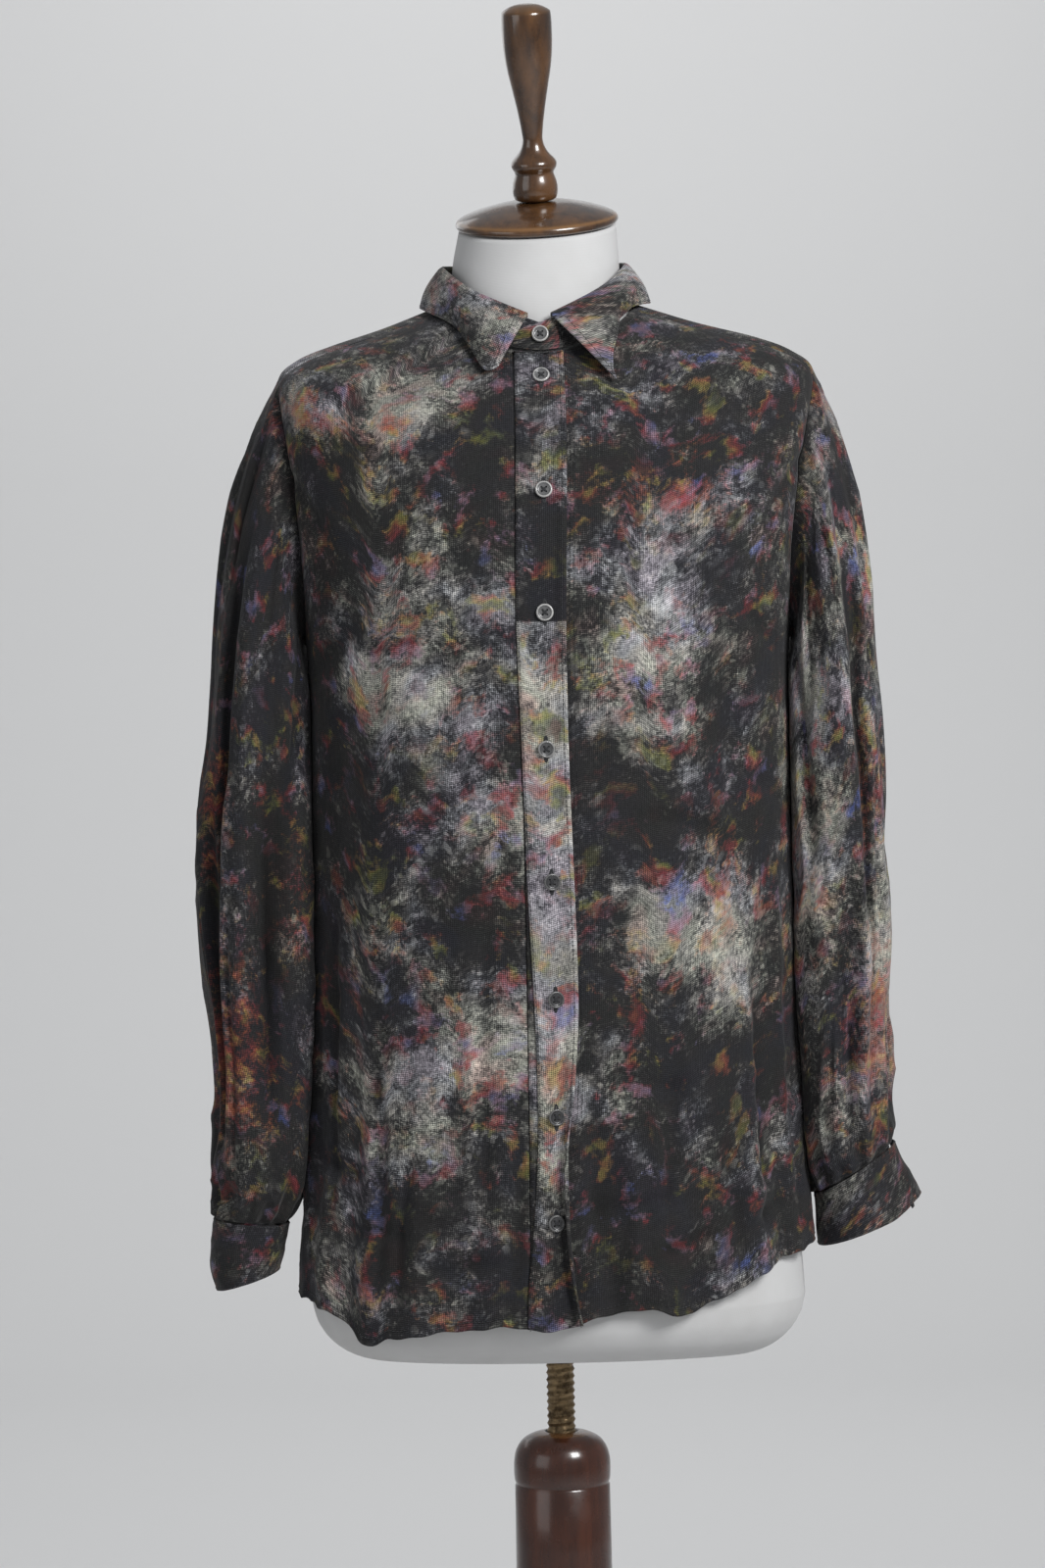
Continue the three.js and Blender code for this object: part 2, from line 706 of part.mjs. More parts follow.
function foldPoint(angle) {
  const turn = ((angle + 540) % 360) - 180;
  const s = Math.sin(degToRad(angle));
  const c = Math.cos(degToRad(angle));
  const z = FOLD_HEIGHT.read("z", FOLD_HEIGHT.place("angle", Math.abs(turn)));
  return new THREE.Vector3(
    s * (s < 0 ? FOLD.left : FOLD.right),
    -c * (c > 0 ? FOLD.front : FOLD.back),
    z,
  );
}

// Point of the collar stand between the neck seam and the collar's fold
function standPoint(angle, share) {
  return bodyBase(angle, LEVEL_NECK).lerp(foldPoint(angle), share);
}

const STAND_LOW = 0.05;
const STAND_TOP = 0.84;
const STAND_END_ANGLE = 11;

// The stand: a strip round the neck whose buttonhole end lies over its button end
function collarStand() {
  const rows = 2;
  const first = -STAND_END_ANGLE;
  const last = 360 + STAND_END_ANGLE;
  const grid = Array.from({ length: rows + 1 }, (_, r) =>
    Array.from({ length: COLUMNS_STAND + 1 }, (_, c) => {
      const angle = lerp(first, last, c / COLUMNS_STAND);
      const late = clamp((angle - 300) / 45, 0, 1);
      const lift = LAYER * late * late * (3 - 2 * late);
      const point = standPoint(angle, lerp(STAND_LOW, STAND_TOP, r / rows));
      const out = new THREE.Vector3(point.x, point.y, 0).normalize();
      return point.addScaledVector(out, lift);
    }),
  );
  return wallUnder(grid, gridNormals(grid, false));
}

// Edge of the collar's leaves: angle round the body, height and distance from the cloth under it
const LEAF_EDGE = table(
  ["along", "angle", "z", "lift"],
  [
    [-1, -15, 1498, 5],
    [-0.93, -19, 1497, 4.5],
    [-0.82, -32, 1514, 4],
    [-0.68, -52, 1533, 4],
    [-0.5, -88, 1549, 4],
    [-0.25, -135, 1553, 4],
    [0, -180, 1554, 4],
    [0.25, -225, 1553, 4],
    [0.5, -272, 1549, 4],
    [0.7, -302, 1539, 4],
    [0.84, -325, 1515, 4],
    [0.93, -336, 1498, 4.5],
    [1, -340, 1488, 5],
  ],
);
const LEAF_FRONT_ANGLE = 7;
const LEAF_ROWS = 3;
const LEAF_SWELL = 2.5;

// The place on the body's surface at one angle and height
function levelAtHeight(angle, z) {
  let low = LEVEL_SHOULDER - 60;
  let high = LEVEL_NECK;
  for (let step = 0; step < 24; step++) {
    const middle = (low + high) / 2;
    if (bodyBase(angle, middle).z < z) low = middle;
    else high = middle;
  }
  return (low + high) / 2;
}

// The collar: from the stand's upper edge, over the fold and down to the edge of the leaves
function collar() {
  const profile = [
    [0.2, STAND_TOP],
    [0.6, STAND_TOP + 0.09],
    [2.2, STAND_TOP + 0.13],
    [4.2, STAND_TOP + 0.08],
  ];
  const grid = [];
  for (let c = 0; c <= COLUMNS_COLLAR; c++) {
    const along = -1 + (2 * c) / COLUMNS_COLLAR;
    const foldAngle = -180 - along * (180 - LEAF_FRONT_ANGLE);
    const place = LEAF_EDGE.place("along", along);
    const edgeAngle = LEAF_EDGE.read("angle", place);
    const lift = LEAF_EDGE.read("lift", place);
    const level = levelAtHeight(edgeAngle, LEAF_EDGE.read("z", place));
    const edge = bodyBase(edgeAngle, level).addScaledVector(bodyNormal(edgeAngle, level), lift);
    const fold = foldPoint(foldAngle);
    const out = new THREE.Vector3(fold.x, fold.y, 0).normalize();
    const column = profile.map(([away, share]) =>
      standPoint(foldAngle, share).addScaledVector(out, away),
    );
    column[0].z += SEAM;
    const turn = column[column.length - 1];
    for (let k = 1; k <= LEAF_ROWS; k++) {
      const share = k / LEAF_ROWS;
      const point = turn.clone().lerp(edge, share);
      point.addScaledVector(out, LEAF_SWELL * Math.sin(Math.PI * share));
      column.push(point);
    }
    grid.push(column);
  }
  const rows = grid[0].map((_, r) => grid.map((column) => column[r]));
  const normals = gridNormals(rows, false);
  const [nearEdge, behind] = [rows.length - 2, COLUMNS_COLLAR / 2];
  const back = rows[nearEdge][behind];
  if (normals[nearEdge][behind].dot(new THREE.Vector3(back.x, back.y, 0)) < 0) {
    normals.forEach((row) => row.forEach((n) => n.negate()));
  }
  return wallUnder(rows, normals);
}

// A closed solid through rings of points, with a middle point at each end
function ringSolid(rings) {
  const columns = rings[0].length;
  const positions = rings.flat().flatMap((p) => p.toArray());
  const middle = (ring) =>
    ring.reduce((sum, p) => sum.add(p), new THREE.Vector3()).divideScalar(columns);
  positions.push(...middle(rings[0]).toArray(), ...middle(rings[rings.length - 1]).toArray());
  const bottom = rings.length * columns;
  const index = [];
  for (let c = 0; c < columns; c++) {
    const next = (c + 1) % columns;
    for (let r = 0; r < rings.length - 1; r++) {
      const [a, b] = [r * columns + c, r * columns + next];
      index.push(a, b, b + columns, a, b + columns, a + columns);
    }
    const last = (rings.length - 1) * columns;
    index.push(bottom, next, c, bottom + 1, last + c, last + next);
  }
  return facingOut(positions, index);
}

// How far the form lies inside the shirt at each level: at its sides, front and back
const FORM_INSET = table(
  ["level", "side", "front", "back"],
  [
    [872, 8, 12, 12],
    [900, 8, 12, 11],
    [950, 9, 14, 14],
    [1010, 14, 18, 22],
    [1080, 26, 26, 32],
    [1140, 33, 30, 36],
    [1200, 30, 26, 34],
    [1270, 22, 14, 24],
    [1330, 18, 7, 14],
    [1390, 22, 6, 9],
    [1440, 22, 5, 7],
    [1480, 12, 4, 5],
    [1503, 5.5, FORM_SEAT, FORM_SEAT + 1.8],
    [1518, FORM_SEAT + 1.8, FORM_SEAT, FORM_SEAT + 1.8],
    [1530, FORM_SEAT + 1, FORM_SEAT, FORM_SEAT + 1.4],
    [1541, FORM_SEAT, FORM_SEAT, FORM_SEAT],
    [1552, 4.5, 4.5, 4.5],
  ],
);

// Rings of the form's neck above the shirt's neck seam
const NECK = table(
  ["z", "left", "right", "front", "back", "slope"],
  [
    [1568, 61.5, 57.5, 64, 55.5, 0.3],
    [1586, 58.5, 56, 57, 55, 0.28],
    [1607.4, 54.5, 54.5, 54.5, 54.5, Math.tan(degToRad(CAP_TILT))],
  ],
);

function formTorso() {
  const angles = Array.from({ length: FORM_COLUMNS }, (_, c) => (360 * c) / FORM_COLUMNS);
  const rings = [];
  const ring = (level, side, front, back) =>
    angles.map((angle) => {
      const sideways = Math.abs(Math.sin(degToRad(angle))) ** 4;
      const end = Math.cos(degToRad(angle)) >= 0 ? front : back;
      const inset = lerp(end, side, sideways);
      return bodyBase(angle, level).addScaledVector(bodyNormal(angle, level), -inset);
    });
  const [firstLevel, side, front, back] = FORM_INSET.rows[0];
  const belowRing = (share, z) =>
    angles.map((angle) => bodyBase(angle, firstLevel).multiplyScalar(share).setZ(z));
  rings.push(belowRing(0.14, FORM_BOTTOM), belowRing(0.5, FORM_BOTTOM + 2));
  for (const turn of FORM_TURNS.map(degToRad)) {
    const inset = FORM_ROUND * (1 - Math.sin(turn));
    const level = lerp(firstLevel, FORM_BOTTOM + 3, Math.cos(turn));
    rings.push(ring(level, side + inset, front + inset, back + inset));
  }
  for (const [level, ...insets] of FORM_INSET.rows) rings.push(ring(level, ...insets));
  for (const [z, left, right, inFront, behind, slope] of NECK.rows) {
    const roll = z === NECK.rows[NECK.rows.length - 1][0] ? Math.tan(degToRad(CAP_ROLL)) : 0;
    rings.push(
      angles.map((angle) => {
        const s = Math.sin(degToRad(angle));
        const c = Math.cos(degToRad(angle));
        const x = s * (s < 0 ? left : right);
        const y = -c * (c > 0 ? inFront : behind);
        return new THREE.Vector3(x, y, z + y * slope + x * roll);
      }),
    );
  }
  return ringSolid(rings);
}

// A turned piece: its profile is [radius, height] from the axis to the axis
function turned(profile, segments) {
  const points = profile.map(([r, z]) => new THREE.Vector2(r, z));
  const lathe = new THREE.LatheGeometry(points, segments);
  lathe.rotateX(Math.PI / 2);
  lathe.deleteAttribute("normal");
  lathe.deleteAttribute("uv");
  return lathe;
}

const FINIAL_PROFILE = [
  [0, 0.3],
  [13.6, 0.3],
  [15.7, 5],
  [15.7, 12],
  [13.6, 18.2],
  [13.2, 20],
  [15.9, 24],
  [15.7, 28],
  [9.8, 33.7],
  [6.7, 41],
  [7.3, 48.7],
  [9.6, 63.6],
  [12.6, 78.6],
  [15.7, 93.6],
  [17.2, 108.5],
  [17.3, 128.5],
  [15.8, 130.5],
  [9, 134],
  [0, 135],
];

const CAP_PROFILE = [
  [0, 0],
  [54, 0],
  [CAP_RADIUS, 2.5],
  [CAP_RADIUS, 5],
  [54, 7.6],
  [44, 11.6],
  [30, 15.2],
  [17.5, CAP_HEIGHT],
  [0, CAP_HEIGHT],
];

const BASE_PROFILE = [
  [0, 0],
  [BASE_RADIUS - 4, 0],
  [BASE_RADIUS, 4],
  [BASE_RADIUS, BASE_HEIGHT - 8],
  [BASE_RADIUS - 8, BASE_HEIGHT],
  [FOOT_RADIUS + 10, BASE_HEIGHT + 3],
  [FOOT_RADIUS, FOOT_HEIGHT - 6],
  [FOOT_RADIUS - 8, FOOT_HEIGHT],
  [0, FOOT_HEIGHT],
];

const BORE_RADIUS = ROD_RADIUS + RUNNING_GAP;
const ROD_FOOT = POLE_TOP - ROD_DEPTH;
const POLE_PROFILE = [
  [0, FOOT_HEIGHT + SEAM],
  [POLE_RADIUS + 8, FOOT_HEIGHT + SEAM],
  [POLE_RADIUS + 8, FOOT_HEIGHT + 14],
  [POLE_RADIUS, FOOT_HEIGHT + 26],
  [POLE_RADIUS, POLE_TOP - 38],
  [POLE_RADIUS - 1.6, POLE_TOP - 35.5],
  [POLE_RADIUS, POLE_TOP - 33],
  [POLE_RADIUS, POLE_TOP - 16],
  [POLE_RADIUS - 5, POLE_TOP - 6],
  [POLE_RADIUS - 13, POLE_TOP - 1.5],
  [BORE_RADIUS + 3, POLE_TOP],
  [BORE_RADIUS, POLE_TOP],
  [BORE_RADIUS, ROD_FOOT - SEAM],
  [0, ROD_FOOT - SEAM],
];

function rodProfile() {
  const profile = [
    [0, ROD_FOOT],
    [ROD_RADIUS - 1, ROD_FOOT],
    [ROD_RADIUS, ROD_FOOT + 1],
  ];
  const threads = Math.floor((ROD_TOP - POLE_TOP) / THREAD_PITCH);
  for (let k = 0; k < threads; k++) {
    const z = POLE_TOP + k * THREAD_PITCH;
    profile.push([ROD_RADIUS, z]);
    profile.push([ROD_RADIUS - THREAD_DEPTH, z + THREAD_PITCH / 2]);
  }
  profile.push([ROD_RADIUS, ROD_TOP], [0, ROD_TOP]);
  return profile;
}

const FERRULE_PROFILE = [
  [0, ROD_TOP + SEAM],
  [FERRULE_RADIUS, ROD_TOP + SEAM],
  [FERRULE_RADIUS, FERRULE_TOP - 1],
  [FERRULE_RADIUS - 1, FERRULE_TOP],
  [0, FERRULE_TOP],
];

const BUTTON_PROFILE = [
  [0, 0],
  [BUTTON_RADIUS - 1, 0],
  [BUTTON_RADIUS, 1],
  [BUTTON_RADIUS - 0.9, BUTTON_THICKNESS],
  [BUTTON_RADIUS - 2, BUTTON_THICKNESS - 0.9],
  [0, BUTTON_THICKNESS - 0.9],
];

// Heights of the front buttons below the one on the stand, and their distance from the centre line
const FRONT_BUTTONS = table(
  ["z", "x"],
  [
    [1493.5, 0],
    [1415, 0],
    [1334, -1],
    [1244, -2],
    [1156, 0],
    [1078, 1],
    [1000, 0],
    [930, -1.5],
  ],
);
const STAND_BUTTON_Z = 1524;

const material = (color, roughness, metalness = 0) =>
  new THREE.MeshStandardMaterial({ color, roughness, metalness });
const cloth = material("#3b3735", 0.9);
const shell = material("#8d8b88", 0.3, 0.1);
const jersey = material("#e4e0da", 0.85);
const wood = material("#4a2410", 0.25);
const poleWood = material("#3d1d10", 0.35);
const metal = material("#8a6b42", 0.45, 0.9);

const shirtOnForm = new THREE.Group();

function add(name, geometry, look, parent = shirtOnForm) {
  const mesh = new THREE.Mesh(geometry, look);
  mesh.name = name;
  parent.add(mesh);
  return mesh;
}

// Sets a button on a surface point, facing along the surface's normal
function addButton(name, point, normal) {
  const button = add(name, turned(BUTTON_PROFILE, 12), shell);
  button.position.copy(point).addScaledVector(normal, SEAM);
  button.quaternion.setFromUnitVectors(new THREE.Vector3(0, 0, 1), normal);
}

function addShirt() {
  add("front_left", bodyPanel(frontPlaces(1, OPENING_X + SEAM)), cloth);
  add("front_right", bodyPanel(frontPlaces(-1, OPENING_X - SEAM)), cloth);
  add("back", bodyPanel(backPlaces()), cloth);
  add("yoke", bodyPanel(yokePlaces()), cloth);
  add("button_band", bodyPanel(bandPlaces(), LAYER + 0.1), cloth);
  add("sleeve_left", sleeve(SLEEVE_LEFT, CREASES_LEFT, 1), cloth);
  add("sleeve_right", sleeve(SLEEVE_RIGHT, CREASES_RIGHT, -1), cloth);
  add("cuff_left", cuff(CUFF_LEFT, 1, CLOSING_LEFT), cloth);
  add("cuff_right", cuff(CUFF_RIGHT, -1, CLOSING_RIGHT), cloth);
  add("collar_stand", collarStand(), cloth);
  add("collar", collar(), cloth);
}

function addButtons() {
  const seam = standPoint(0, 0);
  const fold = standPoint(0, 1);
  const share = (STAND_BUTTON_Z - seam.z) / (fold.z - seam.z);
  const onStand = standPoint(0, share);
  const lean = new THREE.Vector3(0, -(fold.z - seam.z), fold.y - seam.y).normalize();
  onStand.y -= LAYER;
  addButton("button_1", onStand, lean);
  FRONT_BUTTONS.rows.forEach(([z, x], k) => {
    const level = levelAtFront(z);
    const angle = angleOfX(x, level);
    addButton(`button_${k + 2}`, clothPoint(angle, level, LAYER), bodyNormal(angle, level));
  });
  addButton("cuff_button_left", ...cuffButtonSeat(CUFF_LEFT, 1, CLOSING_LEFT));
  addButton("cuff_button_right", ...cuffButtonSeat(CUFF_RIGHT, -1, CLOSING_RIGHT));
}

// The level of the ring that has a given height at the centre front
function levelAtFront(z) {
  return BODY.read("level", BODY.place("zFront", z));
}

function addDressForm() {
  add("form_torso", formTorso(), jersey);
  const head = new THREE.Group();
  head.position.set(...CAP_CENTRE);
  head.rotation.set(degToRad(CAP_TILT), degToRad(-CAP_ROLL), 0);
  shirtOnForm.add(head);
  add("neck_cap", turned(CAP_PROFILE, 28), wood, head);
  const finial = add("finial", turned(FINIAL_PROFILE, 16), wood, head);
  finial.position.z = CAP_HEIGHT;
}

function addStand() {
  add("rod", turned(rodProfile(), 14), metal);
  add("ferrule", turned(FERRULE_PROFILE, 16), metal);
  add("pole", turned(POLE_PROFILE, 24), poleWood);
  add("base", turned(BASE_PROFILE, 36), poleWood);
}

addShirt();
addButtons();
addDressForm();
addStand();

export default shirtOnForm;
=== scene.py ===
import math

import bpy
import numpy as np
from mathutils import Matrix, Vector


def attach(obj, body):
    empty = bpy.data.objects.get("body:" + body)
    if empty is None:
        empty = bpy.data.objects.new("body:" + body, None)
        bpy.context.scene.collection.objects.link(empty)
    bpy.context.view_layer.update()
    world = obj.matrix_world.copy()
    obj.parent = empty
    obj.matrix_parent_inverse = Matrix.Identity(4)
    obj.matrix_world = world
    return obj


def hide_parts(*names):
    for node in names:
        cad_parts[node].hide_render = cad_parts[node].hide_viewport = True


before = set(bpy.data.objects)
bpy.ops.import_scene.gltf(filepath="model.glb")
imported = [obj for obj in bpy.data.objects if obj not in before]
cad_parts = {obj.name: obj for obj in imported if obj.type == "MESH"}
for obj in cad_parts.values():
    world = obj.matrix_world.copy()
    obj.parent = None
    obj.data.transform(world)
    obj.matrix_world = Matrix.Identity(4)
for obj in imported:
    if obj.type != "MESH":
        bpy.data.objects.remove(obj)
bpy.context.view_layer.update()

bl_info = {
    "name": "Tie-dye shirt on a dress form",
    "version": (1, 0, 0),
    "blender": (4, 5, 0),
    "location": "3D View > Sidebar > Shirt",
    "description": "Builds a mottled gauze shirt, its buttons and stitches, and the form it is on",
    "category": "Object",
}

# Lengths are in millimetres up to the meshes, which are in metres.
# Angles go round the body in degrees from the centre front, and the wearer's left is positive.
MM = 0.001
# Wall of each solid piece of cloth, the gap at a seam, and how far out the next layer lies
WALL = 1.3
SEAM = 0.3
LAYER = WALL + SEAM
# A level is a height at the body's sides: of its middle, underarm, shoulder's edge and neck seam
BODY_MIDDLE = 1250
LEVEL_UNDERARM = 1318
LEVEL_SHOULDER = 1503
LEVEL_NECK = 1552
# How sharply the shoulders' ridge rises, where the fronts meet, and half a seam's angle
RIDGE = 1.7
OPENING_X = -18
SEAM_ANGLE = 0.16
# Folds and dye are measured on a round body of this radius
FOLD_RADIUS = 150
MM_PER_DEGREE = FOLD_RADIUS * math.pi / 180

# Camera: how far it stands from the pole, its height and sideways place, and how it leans
CAMERA_DISTANCE = 2.6
CAMERA_X = -0.018
CAMERA_Z = 1.2212
CAMERA_ROLL = 1.16
VIEW_HEIGHT = 1.0884
SENSOR_HEIGHT = 24.0


def along_curve(values, place):
    """Values at places between the given ones, along a smooth curve through them."""
    last = len(values) - 1
    place = np.clip(np.asarray(place, float), 0, last)
    i = np.minimum(np.floor(place).astype(int), last - 1)
    f = (place - i).reshape(place.shape + (1,) * (values.ndim - 1))
    here, there = values[i], values[i + 1]
    before, after = values[np.maximum(i - 1, 0)], values[np.minimum(i + 2, last)]
    rise = there - here
    bend = (1 - f) * ((there - before) / 2 - rise) + f * (rise - (after - here) / 2)
    return here + f * rise + f * (1 - f) * bend


def halved(low, high, is_below, steps=26):
    """Where is_below stops being true, found by halving the way from low to high."""
    for _ in range(steps):
        middle = (low + high) / 2
        below = is_below(middle)
        low, high = np.where(below, middle, low), np.where(below, high, middle)
    return (low + high) / 2


class Table:
    """Rows of numbers under named columns, read between the rows along a smooth curve."""

    def __init__(self, columns, rows):
        self.columns = columns.split()
        self.rows = np.array(rows, float)

    def read(self, column, place):
        return along_curve(self.rows[:, self.columns.index(column)], place)

    def place(self, column, wanted):
        """The place between rows where a rising column reaches a value."""
        wanted = np.asarray(wanted, float)
        high = np.full(wanted.shape, len(self.rows) - 1.0)
        return halved(np.zeros(wanted.shape), high, lambda middle: self.read(column, middle) < wanted)


# Rings of the shirt's body: half widths, depths, heights at the centre front and back, squareness
BODY = Table("level left right front back zFront zBack square", [
    [800, 181, 182, 121, 121, 800, 800, 2.3],
    [860, 179, 179, 121, 121, 860, 860, 2.3],
    [920, 175, 175, 121, 119, 920, 920, 2.3],
    [1000, 168, 169, 119, 116, 1000, 1000, 2.3],
    [1080, 164, 166, 119, 113, 1080, 1080, 2.3],
    [1160, 163, 165, 121, 110, 1160, 1160, 2.3],
    [1240, 163, 166, 125, 109, 1240, 1240, 2.3],
    [1310, 165, 168, 129, 110, 1310, 1310, 2.3],
    [1370, 170, 173, 128, 113, 1368, 1369, 2.4],
    [1420, 175, 179, 122, 115, 1408, 1414, 2.5],
    [1465, 180, 185, 114, 113, 1437, 1447, 2.6],
    [1503, 182, 189, 106, 107, 1460, 1474, 2.6],
    [1518, 168, 174, 100, 100, 1474, 1496, 2.5],
    [1528, 143, 149, 94, 92, 1485, 1514, 2.4],
    [1539, 108, 108, 87, 78, 1497, 1541, 2.2],
    [1552, 74, 68, 77, 59, 1512, 1566, 2.0],
])

# Soft folds of the body. Each runs from low to high, and its angle shifts by drift on the way up.
BODY_FOLDS = Table("angle drift low high width depth", [
    [-66, 10, 700, 1180, 15, 6], [-52, -6, 740, 1120, 13, -5], [-38, 9, 720, 1010, 15, 5],
    [-27, 7, 740, 990, 11, -4], [13, -2, 760, 1060, 9, -4], [22, 5, 750, 1010, 11, 5],
    [34, -7, 740, 1040, 13, -5], [47, 6, 720, 1130, 15, 5], [63, -8, 700, 1220, 16, -5],
    [-60, 24, 1120, 1400, 20, -4], [58, -22, 1100, 1390, 20, -4], [76, 4, 760, 1300, 15, 5],
    [-78, -4, 780, 1290, 15, 5], [104, 8, 700, 1240, 18, 6], [122, -6, 720, 1380, 18, -6],
    [141, 5, 700, 1300, 20, 7], [160, 4, 720, 1420, 18, -6], [177, -4, 700, 1350, 20, 6],
    [196, 6, 720, 1400, 18, -6], [214, -5, 700, 1290, 20, 7], [233, 6, 720, 1360, 18, -6],
    [252, -6, 700, 1230, 17, 6],
])

# Smaller creases: where each starts and ends round the body and up it, and how far it bows
CREASES = Table("angle0 level0 angle1 level1 width depth bow", [
    [-15.5, 1120, -16.5, 925, 5, -1.8, 3], [-19.5, 1090, -20, 940, 6, 1.4, 2],
    [26, 1194, 46, 1180, 6, -1.8, -4], [24, 1206, 48, 1194, 7, 1.2, -5],
    [-72, 1300, -44, 1352, 8, -1.4, 8], [-74, 1268, -40, 1306, 9, 1.2, 9],
    [-72, 1222, -46, 1240, 7, -1.3, 6], [72, 1308, 40, 1368, 8, -1.4, -8],
    [73, 1262, 44, 1310, 9, 1.2, -9], [74, 1210, 50, 1236, 7, -1.4, -5],
    [-80, 1440, -58, 1385, 8, -1.2, -9], [80, 1446, 57, 1392, 8, -1.3, 9],
    [-64, 1130, -58, 900, 6, -2.2, 5], [-47, 1040, -44, 880, 6, -2.0, -4],
    [-34, 990, -37, 870, 5, -1.8, 3], [-8.5, 985, -11, 870, 5, -1.9, -3],
    [9, 1010, 12, 876, 5, -2.0, 4], [17, 965, 15, 874, 5, 1.7, -3],
    [29, 1035, 26, 886, 6, -2.1, 4], [41, 985, 44, 890, 5, -1.9, -3],
    [56, 1100, 53, 905, 6, -2.2, -5], [68, 1160, 66, 915, 7, 2.0, 4],
    [-56, 912, -36, 922, 6, -1.9, -5], [-33, 946, -16, 934, 6, 1.6, 4],
    [-30, 892, -12, 902, 5, -1.7, -4], [8, 938, 26, 950, 6, -1.8, 5],
    [20, 904, 38, 915, 6, -1.9, -4], [34, 962, 58, 948, 7, 1.7, 5],
    [46, 918, 66, 934, 6, -1.8, -4], [-70, 978, -50, 962, 7, -1.8, 5],
    [-28, 1002, -10, 1012, 7, -1.2, -4], [12, 1030, 32, 1018, 7, -1.2, 4],
    [112, 1290, 140, 1330, 9, -1.6, 8], [118, 1240, 150, 1262, 9, 1.5, -8],
    [248, 1288, 222, 1326, 9, -1.6, -8], [243, 1230, 212, 1256, 9, 1.5, 8],
    [132, 1120, 130, 880, 7, -2.4, 6], [150, 1040, 153, 870, 7, 2.0, -5],
    [168, 1090, 166, 866, 7, -2.4, 5], [188, 1010, 190, 862, 7, 2.0, -4],
    [205, 1110, 203, 868, 7, -2.4, 6], [224, 1030, 228, 874, 7, -2.2, -5],
    [243, 1120, 240, 890, 7, 2.2, 5], [120, 940, 142, 926, 7, -2.0, 5],
    [150, 910, 176, 924, 7, 1.9, -5], [182, 938, 206, 926, 7, -2.0, 5],
    [210, 906, 236, 920, 7, 1.8, -5], [146, 1436, 176, 1452, 9, -1.2, 6],
    [186, 1450, 214, 1434, 9, -1.2, 6],
])

# How many times deeper than in the table these creases are
CREASE_DEPTH = 2.0
# Painted shade in the creases: how much less wash a crease gets for each millimetre that it lies deeper
PAINTED_CREASE_SHADE = 0.085
# Crumples of the body's cloth: how far they wander, and the heights of the fine and the broad ones
CRUMPLE_WANDER = 9
FINE_CRUMPLE = 0.42
BROAD_CRUMPLE = 0.7
# How high the cloth crumples at the hem and at the chest, with the levels between which that
# changes, and the share that is left on the shoulders, the same way
SLACK_HEM, SLACK_CHEST, SLACK_LEVELS = 2.5, 0.36, (960, 1290)
SLACK_SHOULDER, SHOULDER_LEVELS = 0.35, (1440, 1510)

# The hem's level round the body
HEM = Table("angle level", [
    [-180, 848], [-150, 852], [-120, 868], [-90, 874], [-66, 871], [-57, 864], [-47, 847],
    [-38, 853], [-26, 857], [-13, 861], [0, 859], [10, 868], [20, 870], [28, 866], [37, 875],
    [50, 889], [62, 897], [90, 903], [120, 880], [150, 856], [180, 848],
])

# Edges of the button band, as distances from the centre line
BAND = Table("level left right", [
    [840, -22, 20], [880, -21, 15], [920, -17, 12], [970, -13, 11], [1010, -12, 12],
    [1070, -13, 16], [1150, -16, 15], [1240, -18, 13], [1330, -20, 13], [1410, -19, 15],
    [1500, -18, 16], [1552, -18, 15],
])

# How far the band's free edge rolls up at each level, in degrees
BAND_ROLL = Table("level turn", [
    [840, 60], [870, 120], [900, 150], [930, 165], [955, 165], [975, 140], [995, 95],
    [1015, 50], [1035, 18], [1055, 0], [1080, 0], [1552, 0],
])
# Width of the band that can roll
BAND_ROLL_WIDTH = 7.5
# How much of the pale wash the band shows at each level: it is cut from another part of the print
BAND_WASH = Table("level wash", [
    [840, 0.2], [940, 0.3], [985, 1.1], [1130, 1.0], [1225, 1.2], [1326, 1.3], [1332, 0.1],
    [1420, 0.0], [1428, 0.55], [1500, 0.4], [1552, 0.4],
])
# How far the band's free edge stands off, and how far its sewn edge is pulled in
BAND_EDGE_LIFT = 1.3
BAND_SEWN_DROP = 0.6
# Rows of dark stitches that hold the under layer and also paint the shadow strip beside the band's
# free edge, as distances beyond that edge, and the level that they start from
UNDER_ROWS_AND_EDGE_SHADOW = (2.4, 5.2)
UNDER_ROWS_LEVEL = 1000
# How far the rolled hem stands out, and the row of points that its stitches follow
HEM_BEAD = 0.8
HEM_STITCH_ROW = 4

# Armhole edge in front and at the back: a share of the way up, and the angle round the body there
ARMHOLE = Table("share front back", [
    [0, 90, 90], [0.03, 85, 95], [0.12, 80, 100.5], [0.3, 76.5, 104], [0.55, 75.5, 105.5],
    [0.8, 77, 105.5], [1, 80, 104],
])
# How far up its armhole the back panel goes, and where the yoke meets it, the fronts and the neck
BACK_ARMHOLE_SHARE = 0.82
ARMHOLE_TOP = Table("angle level", [
    [80, 1503], [84, 1504.2], [88, 1504.6], [92.5, 1503.5], [97, 1499], [101, 1488], [104, 1469.7],
])
YOKE_CORNER_ANGLE = 80
YOKE_NECK_ANGLE = 73
YOKE_BACK_LEVEL = 1496

